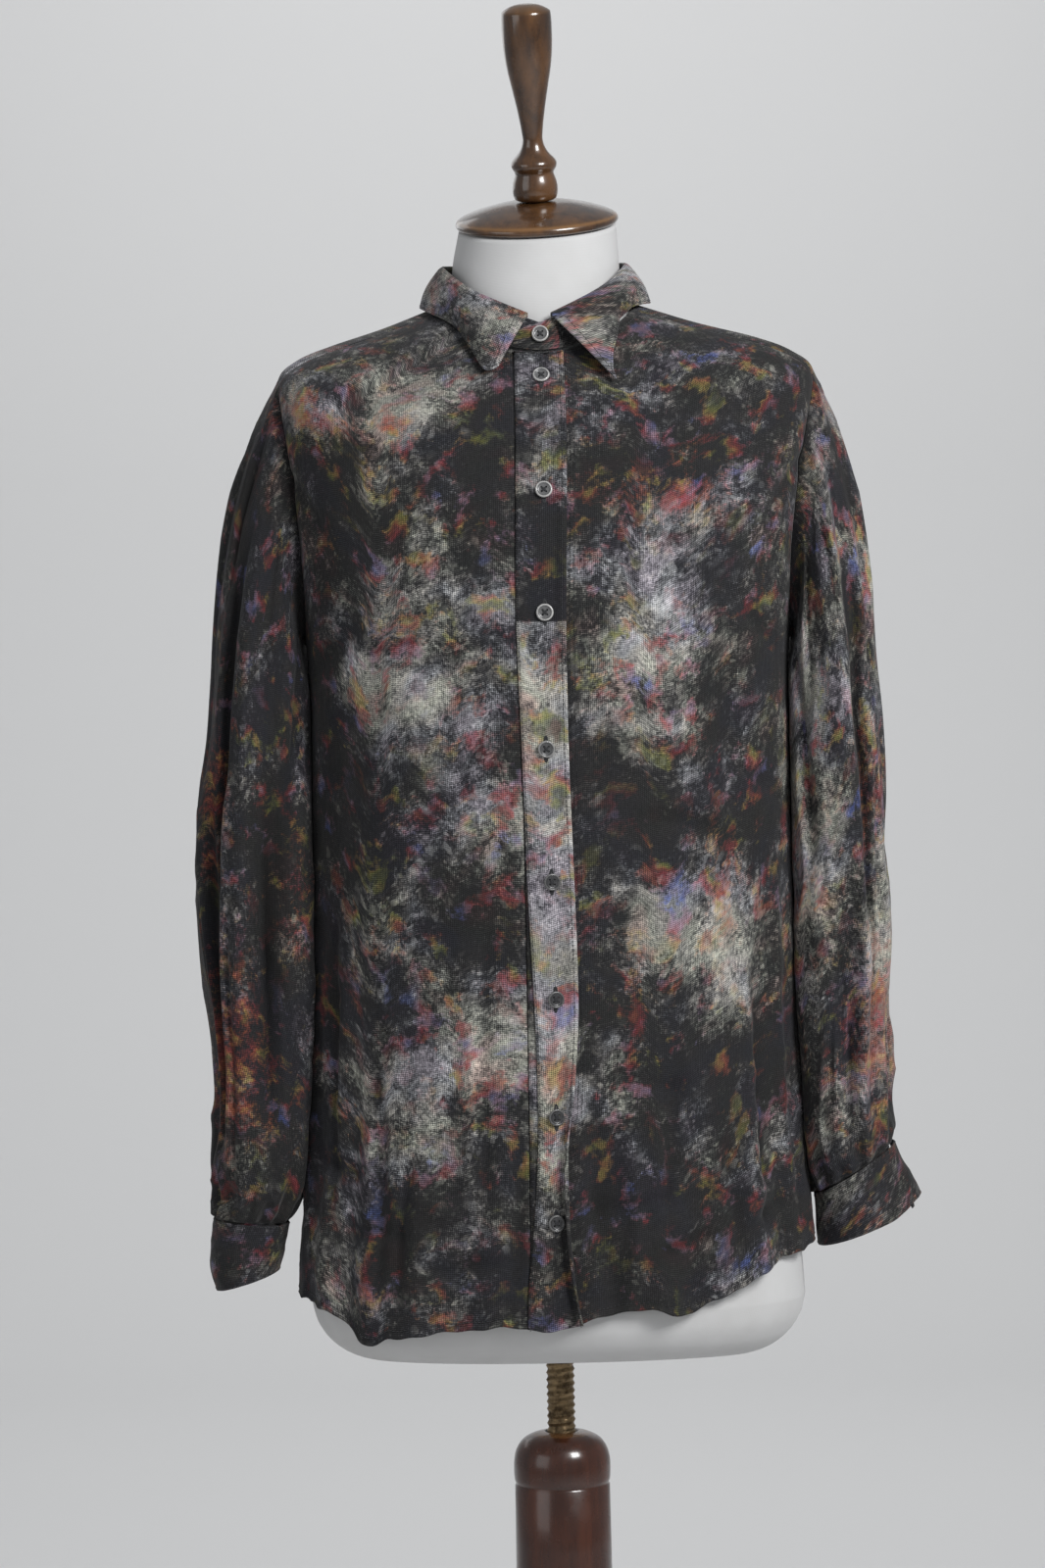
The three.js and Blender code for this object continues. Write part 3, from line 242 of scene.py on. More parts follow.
# Rings of the sleeves: outer and inner edge seen from the front, middle and half depth, squareness
SLEEVE_COLUMNS = "outerX outerZ innerX innerZ y depth square"
SLEEVE_LEFT = Table(SLEEVE_COLUMNS, [
    [190, 1503, 169.5, 1320, 2, 45, 2.0],
    [196, 1491, 171.3, 1321, 2, 50, 2.0],
    [203, 1476, 172.2, 1313, 2, 54, 2.0],
    [209, 1456, 171.5, 1300, 2, 57, 2.1],
    [215, 1428, 170.5, 1283, 2, 59, 2.2],
    [221, 1394, 169.8, 1262, 1, 60, 2.3],
    [226, 1352, 169.6, 1236, 0, 60, 2.4],
    [229, 1304, 169.6, 1205, -2, 59, 2.4],
    [234, 1258, 169.6, 1172, -4, 58, 2.4],
    [236, 1214, 169.4, 1140, -6, 57, 2.4],
    [234, 1172, 169.4, 1108, -8, 56, 2.4],
    [236, 1128, 169.6, 1074, -10, 55, 2.4],
    [234, 1084, 170.5, 1042, -12, 54, 2.3],
    [233, 1044, 172, 1010, -13, 52, 2.2],
    [233, 1010, 173.5, 982, -14, 49, 2.2],
    [233, 992, 174.5, 966, -14, 47, 2.1],
    [234, 980, 175.5, 952, -14, 44, 2.0],
    [232, 973, 176.5, 943, -14, 41, 2.0],
    [229, 968.5, 177.5, 936.5, -14, 38, 2.0],
])
SLEEVE_RIGHT = Table(SLEEVE_COLUMNS, [
    [182, 1503, 166.5, 1320, 2, 45, 2.0],
    [189, 1491, 168.3, 1321, 2, 50, 2.0],
    [197, 1474, 169.2, 1313, 2, 54, 2.0],
    [206, 1452, 168.5, 1300, 2, 57, 2.1],
    [214, 1424, 167.5, 1283, 2, 59, 2.2],
    [221, 1388, 166.8, 1262, 1, 60, 2.3],
    [227, 1346, 166.6, 1236, 0, 60, 2.4],
    [232, 1300, 166.6, 1205, -2, 59, 2.4],
    [236, 1252, 166.6, 1172, -4, 58, 2.4],
    [243, 1208, 166.6, 1140, -6, 57, 2.4],
    [245, 1166, 166.6, 1108, -8, 56, 2.4],
    [246, 1118, 167, 1074, -10, 55, 2.4],
    [243, 1070, 168.5, 1042, -12, 54, 2.3],
    [239, 1024, 170.5, 1008, -13, 52, 2.2],
    [239, 986, 173, 976, -14, 49, 2.2],
    [240, 962, 175.5, 954, -14, 47, 2.1],
    [237, 948, 178, 941, -14, 44, 2.0],
    [236, 937, 181, 932, -14, 41, 2.0],
    [237, 928, 185, 923, -14, 37, 2.0],
])
# Gathers above a cuff: the rows they take, how many there are, how deep, and how the cloth swells
GATHER_ROWS = 4
GATHERS = 13
GATHER_DEPTH = 2.4
GATHER_SWELL = 1.5
# How far a sleeve runs on inside its cuff, its row there, and how it hangs against the body
SLEEVE_TUCK = 3.5
SLEEVE_TUCK_IN = 1.5
SLEEVE_ROW = 10
SLEEVE_FRONT = 60
SLEEVE_LEAN = 9
SLEEVE_CLEARANCE = 1.0
SLEEVE_SOFTNESS = 1.2
ARMHOLE_FADE_ROWS = 6

# Creases of a sleeve: place round it in degrees from the outer edge towards the front
CREASE_COLUMNS = "around drift from to width depth"
SLEEVE_CREASE_DEPTH = 1.8
CREASES_LEFT = Table(CREASE_COLUMNS, [
    [38, 40, 0.8, 11.5, 19, -8], [62, 34, 1.6, 9, 18, 4], [24, -12, 6, 13, 15, -5],
    [104, -26, 8.5, 15, 18, -6], [72, 10, 10.5, 16, 17, 4], [10, 10, 2.5, 8, 14, 3],
    [-40, -24, 1.5, 10, 20, -7], [-78, 14, 4, 14, 20, -6], [-58, 20, 9, 16, 18, 4],
    [-118, 16, 3, 12, 20, -4],
])
CREASES_RIGHT = Table(CREASE_COLUMNS, [
    [34, 30, 1, 8.5, 18, -6], [58, 26, 2.5, 10, 18, 4], [46, -6, 7.5, 14.5, 15, -8],
    [16, -6, 10, 15.5, 14, -6], [84, -12, 9, 16, 18, 4], [110, -18, 6, 14, 18, -6],
    [8, 8, 3, 7, 14, 3], [-44, -22, 1.5, 10, 20, -7], [-74, 16, 4, 14, 20, -6],
    [-60, 22, 9, 16, 18, 4],
])
# Finer creases of both sleeves, sharper and uneven
FINE_CREASE_DEPTH = 2.4
FINE_CREASES = Table(CREASE_COLUMNS, [
    [52, 18, 0.6, 6.5, 6, -2.6], [30, 8, 3.2, 9.5, 6, -2.4], [70, -14, 4.5, 10.5, 7, -2.4],
    [18, 12, 8.5, 13.5, 6, -2.2], [60, 6, 9.5, 14.5, 6, -2.6], [38, -10, 12, 16.5, 5, -2.2],
    [86, 10, 11.5, 15.8, 6, -2.4], [-12, 14, 5, 12, 6, -2.2], [-34, -8, 9, 15, 6, -2.4],
    [-62, 12, 3, 9, 7, -2.6], [-94, -10, 7, 14, 7, -2.4], [-130, 12, 2, 8, 7, -2.2],
    [130, -10, 3, 9, 7, -2.4], [104, 8, 1.5, 6, 6, -2.0], [2, -8, 12.5, 16.5, 5, -2.2],
    [44, 6, 5.5, 12, 4, -1.8], [64, -4, 7.5, 13, 4, -1.6], [26, -6, 10, 15.5, 4, -1.8],
    [80, 4, 2, 8, 5, -1.6], [-24, 6, 2, 9, 4, -1.8], [-50, -6, 6, 13, 4, -2.0],
    [-72, 5, 9.5, 15.5, 4, -1.8], [-16, -4, 9, 15, 4, -1.6], [-44, 5, 0.8, 6, 4, -1.6],
    [-88, -4, 2, 7.5, 5, -1.6],
])

# Crumples of a sleeve: how many fine and broad ones go round it, and how high they stand
SLEEVE_FINE_CRUMPLES = 18
SLEEVE_BROAD_CRUMPLES = 9
SLEEVE_FINE_HEIGHT = 2.0
SLEEVE_BROAD_HEIGHT = 2.4
CUFF_CRUMPLES = 22
CUFF_CRUMPLE_HEIGHT = 0.5

# Rings of the cuffs, and how each closes: where round it, how far it laps, and its button
CUFF_LEFT = Table(SLEEVE_COLUMNS, [
    [229, 967.6, 177.5, 935.8, -14, 38, 2.1],
    [233, 955, 178, 925, -14, 39, 2.1],
    [240, 941, 178.5, 913, -15, 41, 2.1],
    [246, 926, 179.5, 900, -16, 44, 2.1],
])
CUFF_RIGHT = Table(SLEEVE_COLUMNS, [
    [237, 927, 185, 922, -14, 37, 2.1],
    [239, 912, 187, 911, -14, 36, 2.1],
    [240, 894, 189, 901, -14, 36, 2.1],
    [236, 877, 192, 890, -14, 35, 2.1],
])
CLOSING_LEFT = {"start": 20, "overlap": 40, "gap": 3.9, "rise": 7, "button": 0, "upper": False}
CLOSING_RIGHT = {"start": -40, "overlap": 36, "gap": SEAM, "rise": 0, "button": -66, "upper": True}

# Fold of the collar round the neck: half widths, depths, and its height at each angle
FOLD = {"left": 64, "right": 58.5, "front": 72, "back": 60}
FOLD_HEIGHT = Table("angle z", [
    [0, 1536], [25, 1549], [45, 1560], [70, 1575], [90, 1582], [135, 1588], [180, 1590],
])
# The stand's lower and upper edge as shares of the way up to the fold, and its lap past the front
STAND_LOW = 0.05
STAND_TOP = 0.84
STAND_END_ANGLE = 11
# The collar's outer edge from one point to the other, and its start beside the front
LEAF_EDGE = Table("along angle z lift", [
    [-1, -15, 1498, 5],
    [-0.93, -19, 1497, 4.5],
    [-0.82, -32, 1514, 4],
    [-0.68, -52, 1533, 4],
    [-0.5, -88, 1549, 4],
    [-0.25, -135, 1553, 4],
    [0, -180, 1554, 4],
    [0.25, -225, 1553, 4],
    [0.5, -272, 1549, 4],
    [0.7, -302, 1539, 4],
    [0.84, -325, 1515, 4],
    [0.93, -336, 1498, 4.5],
    [1, -340, 1488, 5],
])
LEAF_FRONT_ANGLE = 7
LEAF_SWELL = 2.5
# The collar's section over the stand: how far out, and the share of the way up to the fold
COLLAR_FOLD = Table("away share", [
    (0.2, STAND_TOP), (0.6, STAND_TOP + 0.09), (2.2, STAND_TOP + 0.13), (4.2, STAND_TOP + 0.08),
])
COLLAR_FOLD_ROWS = 10

# Front buttons below the one on the stand: height, distance from the centre line, tilt into the hole
BUTTON_RADIUS = 5.75
STAND_BUTTON_Z = 1524
FRONT_BUTTONS = [
    (1493.5, 0, 0), (1415, 0, 0), (1334, -1, 0), (1244, -2, 10), (1156, 0, 16), (1078, 1, 18),
    (1000, 0, 18), (930, -1.5, 15),
]

# Dress form: its foot, how round its lower edge is, and how far in from the cloth it lies
FORM_BOTTOM = 826
FORM_ROUND = 46
FORM_SEAT = WALL + 1.4
# Rows of the form's mesh to each of its rings, its underside's turns and shares, and its tucks
FORM_STEPS = 5
FORM_TURNS = (4, 12, 22, 34, 48, 64, 80)
FORM_SHARES = (0.14, 0.35, 0.55, 0.72, 0.86)
TUCK_ANGLES = (-46, -31, -12, 19, 38, 57, 140, 215)
TUCK_HEIGHT, TUCK_WIDTH, TUCK_LEVEL, TUCK_REACH = 0.9, 2.0, 846, 16
# The seam below the form's middle: its angle, half width and depth, and the heights it runs between
SEAM_TURN, SEAM_WIDTH, SEAM_DEPTH, SEAM_LOW, SEAM_HIGH = 1.5, 0.7, 0.9, 830, 900
FORM_INSET = Table("level side front back", [
    [872, 8, 12, 12], [900, 8, 12, 11], [950, 9, 14, 14], [1010, 14, 18, 22],
    [1080, 26, 26, 32], [1140, 33, 30, 36], [1200, 30, 26, 34], [1270, 22, 14, 24],
    [1330, 18, 7, 14], [1390, 22, 6, 9], [1440, 22, 5, 7], [1480, 12, 4, 5],
    [1503, 5.5, FORM_SEAT, FORM_SEAT + 1.8],
    [1518, FORM_SEAT + 1.8, FORM_SEAT, FORM_SEAT + 1.8],
    [1530, FORM_SEAT + 1, FORM_SEAT, FORM_SEAT + 1.4], [1541, FORM_SEAT, FORM_SEAT, FORM_SEAT],
    [1552, 4.5, 4.5, 4.5],
])
# The form's neck, and the cap and finial that lean with its cut top
NECK = Table("z left right front back slope roll", [
    [1568, 61.5, 57.5, 64, 55.5, 0.3, 0],
    [1586, 58.5, 56, 57, 55, 0.28, 0],
    [1607.4, 54.5, 54.5, 54.5, 54.5, math.tan(math.radians(17)), math.tan(math.radians(2))],
])
CAP_CENTRE = (0, 0, 1608)
CAP_TILT = 17
CAP_ROLL = 2
CAP_RADIUS = 56.5
CAP_HEIGHT = 17.5
FINIAL_PROFILE = [
    (0, 0.3), (13.6, 0.3), (15.7, 5), (15.7, 12), (13.6, 18.2), (13.2, 20), (15.9, 24),
    (15.7, 28), (9.8, 33.7), (6.7, 41), (7.3, 48.7), (9.6, 63.6), (12.6, 78.6), (15.7, 93.6),
    (17.2, 108.5), (17.3, 128.5), (15.8, 130.5), (9, 134), (0, 135),
]
CAP_PROFILE = [
    (0, 0), (54, 0), (CAP_RADIUS, 2.5), (CAP_RADIUS, 5), (54, 7.6), (44, 11.6), (30, 15.2),
    (17.5, CAP_HEIGHT), (0, CAP_HEIGHT),
]
# Stand: base and foot, pole, the threaded rod in its bore, and the ferrule at the rod's top
BASE_RADIUS = 190
BASE_HEIGHT = 28
FOOT_RADIUS = 72
FOOT_HEIGHT = 46
BASE_PROFILE = [
    (0, 0), (BASE_RADIUS - 4, 0), (BASE_RADIUS, 4), (BASE_RADIUS, BASE_HEIGHT - 8),
    (BASE_RADIUS - 8, BASE_HEIGHT), (FOOT_RADIUS + 10, BASE_HEIGHT + 3),
    (FOOT_RADIUS, FOOT_HEIGHT - 6), (FOOT_RADIUS - 8, FOOT_HEIGHT), (0, FOOT_HEIGHT),
]
POLE_RADIUS = 33.5
POLE_TOP = 772
ROD_RADIUS = 10
BORE_RADIUS = ROD_RADIUS + 0.5
ROD_FOOT = POLE_TOP - 62
ROD_TOP = 819.7
THREAD_PITCH = 5
THREAD_DEPTH = 1.3
POLE_PROFILE = [
    (0, FOOT_HEIGHT + SEAM), (POLE_RADIUS + 8, FOOT_HEIGHT + SEAM),
    (POLE_RADIUS + 8, FOOT_HEIGHT + 14), (POLE_RADIUS, FOOT_HEIGHT + 26),
    (POLE_RADIUS, POLE_TOP - 38), (POLE_RADIUS - 1.6, POLE_TOP - 35.5),
    (POLE_RADIUS, POLE_TOP - 33), (POLE_RADIUS, POLE_TOP - 16), (POLE_RADIUS - 5, POLE_TOP - 6),
    (POLE_RADIUS - 13, POLE_TOP - 1.5), (BORE_RADIUS + 3, POLE_TOP), (BORE_RADIUS, POLE_TOP),
    (BORE_RADIUS, ROD_FOOT - SEAM), (0, ROD_FOOT - SEAM),
]
FERRULE_RADIUS = 13
FERRULE_TOP = 825.7
FERRULE_PROFILE = [
    (0, ROD_TOP + SEAM), (FERRULE_RADIUS, ROD_TOP + SEAM), (FERRULE_RADIUS, FERRULE_TOP - 1),
    (FERRULE_RADIUS - 1, FERRULE_TOP), (0, FERRULE_TOP),
]


def sine(angle):
    return np.sin(np.radians(angle))


def cosine(angle):
    return np.cos(np.radians(angle))


def lerp(a, b, share):
    return a + (b - a) * share


def smooth(share):
    share = np.clip(share, 0, 1)
    return share * share * (3 - 2 * share)


def ease(value, start, end):
    """0 before start and 1 past end, smooth between them."""
    return smooth((value - start) / (end - start))


def unit(vectors):
    return vectors / np.maximum(np.linalg.norm(vectors, axis=-1, keepdims=True), 1e-9)


def turn_between(angle, centre):
    """The angle from centre, between -180 and 180."""
    return (angle - centre + 540) % 360 - 180


def random_heights(across, up, seed, wrap=None):
    """Smooth random heights from -1 to 1 over unit cells, which may repeat after wrap cells across."""
    cells = np.random.default_rng(seed).uniform(-1, 1, (97, wrap or 97))
    i, j = np.floor(across).astype(int), np.floor(up).astype(int)
    f, g = smooth(across - i), smooth(up - j)
    at = lambda column, row: cells[row % cells.shape[0], column % cells.shape[1]]
    low = lerp(at(i, j), at(i + 1, j), f)
    high = lerp(at(i, j + 1), at(i + 1, j + 1), f)
    return lerp(low, high, g)


def crumple(across, up, seed, wrap=None):
    """Creased heights: soft hollows that meet in sharper lines."""
    return 0.5 - 1.4 * np.abs(random_heights(across, up, seed, wrap)) ** 0.8


def body_half(x, place):
    """The body's half width at a place up its rings, on the side where x is."""
    return np.where(np.asarray(x) < 0, BODY.read("left", place), BODY.read("right", place))


def body_base(angle, level):
    """Points of the body's smooth surface."""
    angle, level = np.broadcast_arrays(np.asarray(angle, float), np.asarray(level, float))
    place = BODY.place("level", level)
    s = sine(angle)
    in_front = cosine(angle) >= 0
    square = BODY.read("square", place)
    w = np.maximum(0, 1 - np.abs(s) ** square) ** (1 / square)
    x = s * body_half(s, place)
    y = np.where(in_front, -w * BODY.read("front", place), w * BODY.read("back", place))
    end = np.where(in_front, BODY.read("zFront", place), BODY.read("zBack", place))
    return np.stack([x, y, lerp(level, end, w ** RIDGE)], -1)


def body_normal(angle, level):
    around = body_base(angle + 0.6, level) - body_base(angle - 0.6, level)
    up = body_base(angle, level + 1.5) - body_base(angle, level - 1.5)
    return unit(np.cross(around, up))


def fold_height(angle, level):
    height = np.zeros(np.broadcast(angle, level).shape)
    for centre, drift, low, high, width, depth in BODY_FOLDS.rows:
        share = np.clip((level - low) / (high - low), 0, 1)
        across = turn_between(angle, centre + drift * share) * MM_PER_DEGREE / width
        height += depth * np.exp(-across * across) * np.sin(np.pi * share) ** 1.3
    return height


def slack(level):
    """How freely the cloth can crumple: hardly where it lies on the shoulders, most at the hem."""
    height = lerp(SLACK_HEM, SLACK_CHEST, ease(level, *SLACK_LEVELS))
    return height * lerp(1, SLACK_SHOULDER, ease(level, *SHOULDER_LEVELS))


def crease_height(angle, level):
    """Height of the small creases and the crumpled surface of the body."""
    across = np.broadcast_to(turn_between(angle, 0) * MM_PER_DEGREE, np.broadcast(angle, level).shape)
    up = np.broadcast_to(level, across.shape).astype(float)
    height = np.zeros(across.shape)
    for angle0, level0, angle1, level1, width, depth, bow in CREASES.rows:
        run = np.array([(angle1 - angle0) * MM_PER_DEGREE, level1 - level0])
        length = np.hypot(*run)
        along_x = turn_between(angle, angle0) * MM_PER_DEGREE
        along_y = up - level0
        share = (along_x * run[0] + along_y * run[1]) / length ** 2
        side = (along_x * run[1] - along_y * run[0]) / length
        held = np.clip(share, 0, 1)
        off = side - bow * 4 * held * (1 - held)
        beyond = (share - held) * length
        most = depth * np.sin(np.pi * lerp(0.12, 0.88, held))
        height += CREASE_DEPTH * most * np.exp(-(off ** 2 + beyond ** 2) / width ** 2)
    warp = CRUMPLE_WANDER * random_heights(across / 47, up / 61, 5)
    fine = crumple((across + warp) / 15, (up - warp) / 12, 11)
    broad = crumple((across - warp) / 33, up / 29 + warp / 40, 12)
    return height + slack(up) * (FINE_CRUMPLE * fine + BROAD_CRUMPLE * broad)


def cloth_point(angle, level, lift=0.0):
    """Points of the shirt's cloth, moved out from the body's panels by lift."""
    out = lift + fold_height(angle, level) + crease_height(angle, level)
    return body_base(angle, level) + body_normal(angle, level) * np.asarray(out)[..., None]


def hem_level(angle):
    """The level of the hem, which flutters a little."""
    flutter = 0.6 * np.sin(np.asarray(angle) * 0.42) + 0.5 * np.sin(np.asarray(angle) * 0.93 + 1)
    return HEM.read("level", HEM.place("angle", turn_between(angle, 0))) + flutter


def angle_of_x(x, level):
    """The angle round the body of a distance from the centre line."""
    return np.degrees(np.arcsin(x / body_half(x, BODY.place("level", level))))


def armhole_angle(side, level):
    share = (level - LEVEL_UNDERARM) / (LEVEL_SHOULDER - LEVEL_UNDERARM)
    return ARMHOLE.read(side, ARMHOLE.place("share", share))


def skirt_shares(rows):
    """Shares of the way up from the hem to the underarm, closer together in the rolled hem."""
    return np.concatenate([np.arange(4) * 0.0025, np.linspace(0.012, 1, rows)])


def armhole_shares(rows):
    """Shares of the way up an armhole, closer together in its round lower end."""
    return (np.arange(1, rows + 1) / rows) ** 1.25


def front_rows(skirt=130, armhole=84, yoke=26):
    """Rows of the fronts: the level, and the share of the way from the hem up to the underarm."""
    up = skirt_shares(skirt)
    low = np.full(len(up), LEVEL_UNDERARM, float)
    middle = lerp(LEVEL_UNDERARM, LEVEL_SHOULDER, armhole_shares(armhole))
    high = lerp(LEVEL_SHOULDER, LEVEL_NECK, np.arange(1, yoke + 1) / yoke)
    return np.concatenate([low, middle, high]), np.concatenate([up, np.ones(armhole + yoke)])


def hem_bead(share):
    """How far the rolled hem stands out, from the share of the way up to the underarm."""
    height = share * (LEVEL_UNDERARM - 860)
    return HEM_BEAD * np.exp(-((height - 1.3) / 1.0) ** 2)


def front_places(sign, opening_x, columns=88):
    level, share = front_rows()
    yoke_share = (level - LEVEL_SHOULDER) / (LEVEL_NECK - LEVEL_SHOULDER)
    over = lerp(YOKE_CORNER_ANGLE, YOKE_NECK_ANGLE, yoke_share)
    edge = np.where(yoke_share > 0, over, armhole_angle("front", level))
    opening = angle_of_x(opening_x, level)
    across = np.linspace(0, 1, columns + 1)
    angle = lerp(opening[:, None], sign * (edge[:, None] - SEAM_ANGLE), across[None, :])
    return angle, lerp(hem_level(angle), level[:, None], share[:, None]), hem_bead(share)[:, None]


def back_places(columns=150, skirt=120, armhole=70):
    up = skirt_shares(skirt)
    low = np.full(len(up), LEVEL_UNDERARM, float)
    reach = BACK_ARMHOLE_SHARE * (LEVEL_SHOULDER - LEVEL_UNDERARM)
    level = np.concatenate([low, LEVEL_UNDERARM + reach * armhole_shares(armhole)])
    share = np.concatenate([up, np.ones(armhole)])
    top = level[-1]
    edge = armhole_angle("back", level) + SEAM_ANGLE
    across = np.linspace(0, 1, columns + 1)
    angle = lerp(edge[:, None], 360 - edge[:, None], across[None, :])
    rise = np.maximum(0, (level - LEVEL_UNDERARM) / (top - LEVEL_UNDERARM))[:, None]
    swell = (YOKE_BACK_LEVEL - top) * np.sin(np.pi * across)[None, :]
    raised = level[:, None] + swell * rise - 2 * SEAM * rise
    return angle, lerp(hem_level(angle), raised, share[:, None]), hem_bead(share)[:, None]


def yoke_places(rows=26, over=24, columns=110):
    top = np.linspace(0, len(ARMHOLE_TOP.rows) - 1, over)
    angles, levels = ARMHOLE_TOP.read("angle", top), ARMHOLE_TOP.read("level", top)
    share = np.arange(1, columns) / columns
    swell = (YOKE_BACK_LEVEL - levels[-1]) * np.sin(np.pi * share)
    low_angle = np.concatenate([angles, lerp(angles[-1], 360 - angles[-1], share), 360 - angles[::-1]])
    low_level = np.concatenate([levels, levels[-1] + swell, levels[::-1]])
    up = np.linspace(0, 1, rows + 1)[:, None]
    across = (low_angle - YOKE_CORNER_ANGLE) / (360 - 2 * YOKE_CORNER_ANGLE)
    neck = lerp(YOKE_NECK_ANGLE, 360 - YOKE_NECK_ANGLE, across)
    gap = SEAM_ANGLE * (1 - 2 * across)
    return lerp(low_angle[None, :], neck[None, :], up) + gap, lerp(low_level[None, :], LEVEL_NECK, up), 0


def band_grid(columns=22):
    """The band's cloth: flat on the fronts, its free edge rolled up near the hem."""
    level, share = front_rows()
    level = np.where(level >= LEVEL_NECK, LEVEL_NECK - 2, level)
    row = lerp(hem_level(np.zeros(len(level))), level, share)
    place = BAND.place("level", row)
    left, right = BAND.read("left", place), BAND.read("right", place)
    x = lerp(left[:, None], right[:, None], np.linspace(0, 1, columns + 1)[None, :])
    turn = np.maximum(np.radians(BAND_ROLL.read("turn", BAND_ROLL.place("level", row))), 0.01)[:, None]
    past = np.maximum(0, x - (right[:, None] - BAND_ROLL_WIDTH)) / BAND_ROLL_WIDTH
    radius = BAND_ROLL_WIDTH / turn
    rolled = radius * np.sin(past * turn)
    lift = radius * (1 - np.cos(past * turn))
    x = np.where(past > 0, right[:, None] - BAND_ROLL_WIDTH + rolled, x)
    angle = angle_of_x(x, row[:, None])
    up = lerp(hem_level(angle), level[:, None], share[:, None])
    lift = lift + BAND_EDGE_LIFT * smooth(past * 2) * smooth((1500 - row) / 40)[:, None]
    sewn_down = BAND_SEWN_DROP * (1 - smooth((x - left[:, None]) / 4))
    return cloth_point(angle, up, LAYER + 0.1 + lift - sewn_down), angle, up


def armhole_loop(count=176):
    """Places round one armhole: up the front, over the shoulder and down the back."""
    front = np.linspace(0, 1, int(count * 0.42)) ** 1.3
    level_front = lerp(LEVEL_UNDERARM, LEVEL_SHOULDER, front)
    top = np.linspace(0, len(ARMHOLE_TOP.rows) - 1, int(count * 0.2))[1:]
    behind = (BACK_ARMHOLE_SHARE * np.linspace(1, 0, int(count * 0.38)) ** 1.3)[1:-1]
    level_back = lerp(LEVEL_UNDERARM, LEVEL_SHOULDER, behind)
    angles = [armhole_angle("front", level_front), ARMHOLE_TOP.read("angle", top)]
    levels = [level_front, ARMHOLE_TOP.read("level", top), level_back]
    return np.concatenate([*angles, armhole_angle("back", level_back)]), np.concatenate(levels)


def crease_sum(table, around, place, sharp=False):
    """Heights of a tube's creases. A sharp one is a narrow hollow with a ridge along one side."""
    height = np.zeros(np.broadcast(around, place).shape)
    for centre, drift, start, end, width, depth in table.rows:
        share = np.clip((place - start) / (end - start), 0, 1)
        across = turn_between(around, centre + drift * share) / width
        section = np.exp(-across * across)
        if sharp:
            section = np.exp(-np.abs(across) ** 1.3) - 0.55 * np.exp(-(across - 1.9) ** 2)
        height += depth * section * np.sin(np.pi * share) ** 0.8
    return height


def tube_point(rings, place, around, sign, out=0.0):
    """Points of a tube's rings, with out measured away from its middle."""
    place, around, out = np.broadcast_arrays(place, around, out)
    column = lambda name: rings.read(name, place)
    outer = np.stack([column("outerX"), np.zeros(place.shape), column("outerZ")], -1)
    inner = np.stack([column("innerX"), np.zeros(place.shape), column("innerZ")], -1)
    half = (outer - inner) / 2
    power = 2 / column("square")
    across = np.sign(cosine(around)) * np.abs(cosine(around)) ** power
    forward = np.sign(sine(around)) * np.abs(sine(around)) ** power
    reach = np.linalg.norm(half, axis=-1)
    point = (outer + inner) / 2 + half * (across * (reach + out) / reach)[..., None]
    point[..., 1] += column("y") - forward * (column("depth") + out)
    point[..., 0] *= sign
    return point


def kept_off_body(points, clearance):
    """Points of a sleeve that hangs against the shirt's side, kept clear of it by a soft limit."""
    x, y, z = (points[..., k] for k in range(3))
    place = BODY.place("level", z)
    half = body_half(x, place)
    depth = np.where(y < 0, BODY.read("front", place), BODY.read("back", place))
    square = BODY.read("square", place)
    reach = (np.abs(x / half) ** square + np.abs(y / depth) ** square) ** (1 / square)
    angle = np.degrees(np.arcsin(np.clip(x / (half * reach), -1, 1)))
    angle = np.where(y > 0, 180 - angle, angle)
    distance = (reach - 1) * np.hypot(x, y)
    limit = clearance + fold_height(angle, z) + crease_height(angle, z)
    over = np.clip((distance - limit) / SLEEVE_SOFTNESS, -30, 30)
    kept = limit + SLEEVE_SOFTNESS * np.log1p(np.exp(over))
    move = np.where(over < 8, kept - distance, 0) * smooth((LEVEL_UNDERARM - 4 - z) / 12)
    return points + body_normal(angle, z) * move[..., None]


def armhole_turns(edge):
    """The turn round the sleeve of each point of the armhole's edge, from its underarm."""
    top, low = edge[:, 2].max(), edge[:, 2].min()
    near, far = edge[:, 1].min(), edge[:, 1].max()
    up = (edge[:, 2] - (top + low) / 2) / ((top - low) / 2)
    forward = ((near + far) / 2 - edge[:, 1]) / ((far - near) / 2)
    turns = np.degrees(np.arctan2(forward, up))
    turns[0] = 180
    return turns


def gather_height(share, from_cuff, sign):
    """Waves of a sleeve where it is gathered into its cuff, share being the way round it."""
    gather = np.clip(1 + from_cuff / GATHER_ROWS, 0, 1) * (1 - ease(from_cuff, -0.35, 0))
    uneven = 1 + 0.35 * np.sin(2 * np.pi * 3 * share + sign) + 0.2 * np.sin(2 * np.pi * 5 * share)
    waves = np.cos(2 * np.pi * GATHERS * share + 0.9 * np.sin(2 * np.pi * 2 * share))
    return GATHER_DEPTH * gather * uneven * waves


def sleeve_crumples(share, place, from_cuff, sign):
    """The crumpled surface of a sleeve, which fades at both of its seams."""
    warp = 0.5 * random_heights(share * 6, place * 0.7, 21, 6)
    around_fine, around_broad = share * SLEEVE_FINE_CRUMPLES + warp, share * SLEEVE_BROAD_CRUMPLES - warp
    fine = crumple(around_fine, place * 0.55 + warp, 22 + sign, SLEEVE_FINE_CRUMPLES)
    broad = crumple(around_broad, place * 0.33, 31 + sign, SLEEVE_BROAD_CRUMPLES)
    height = SLEEVE_FINE_HEIGHT * fine + SLEEVE_BROAD_HEIGHT * broad
    return height * ease(place, 0, 1.2) * (1 - ease(from_cuff, -0.3, 0))


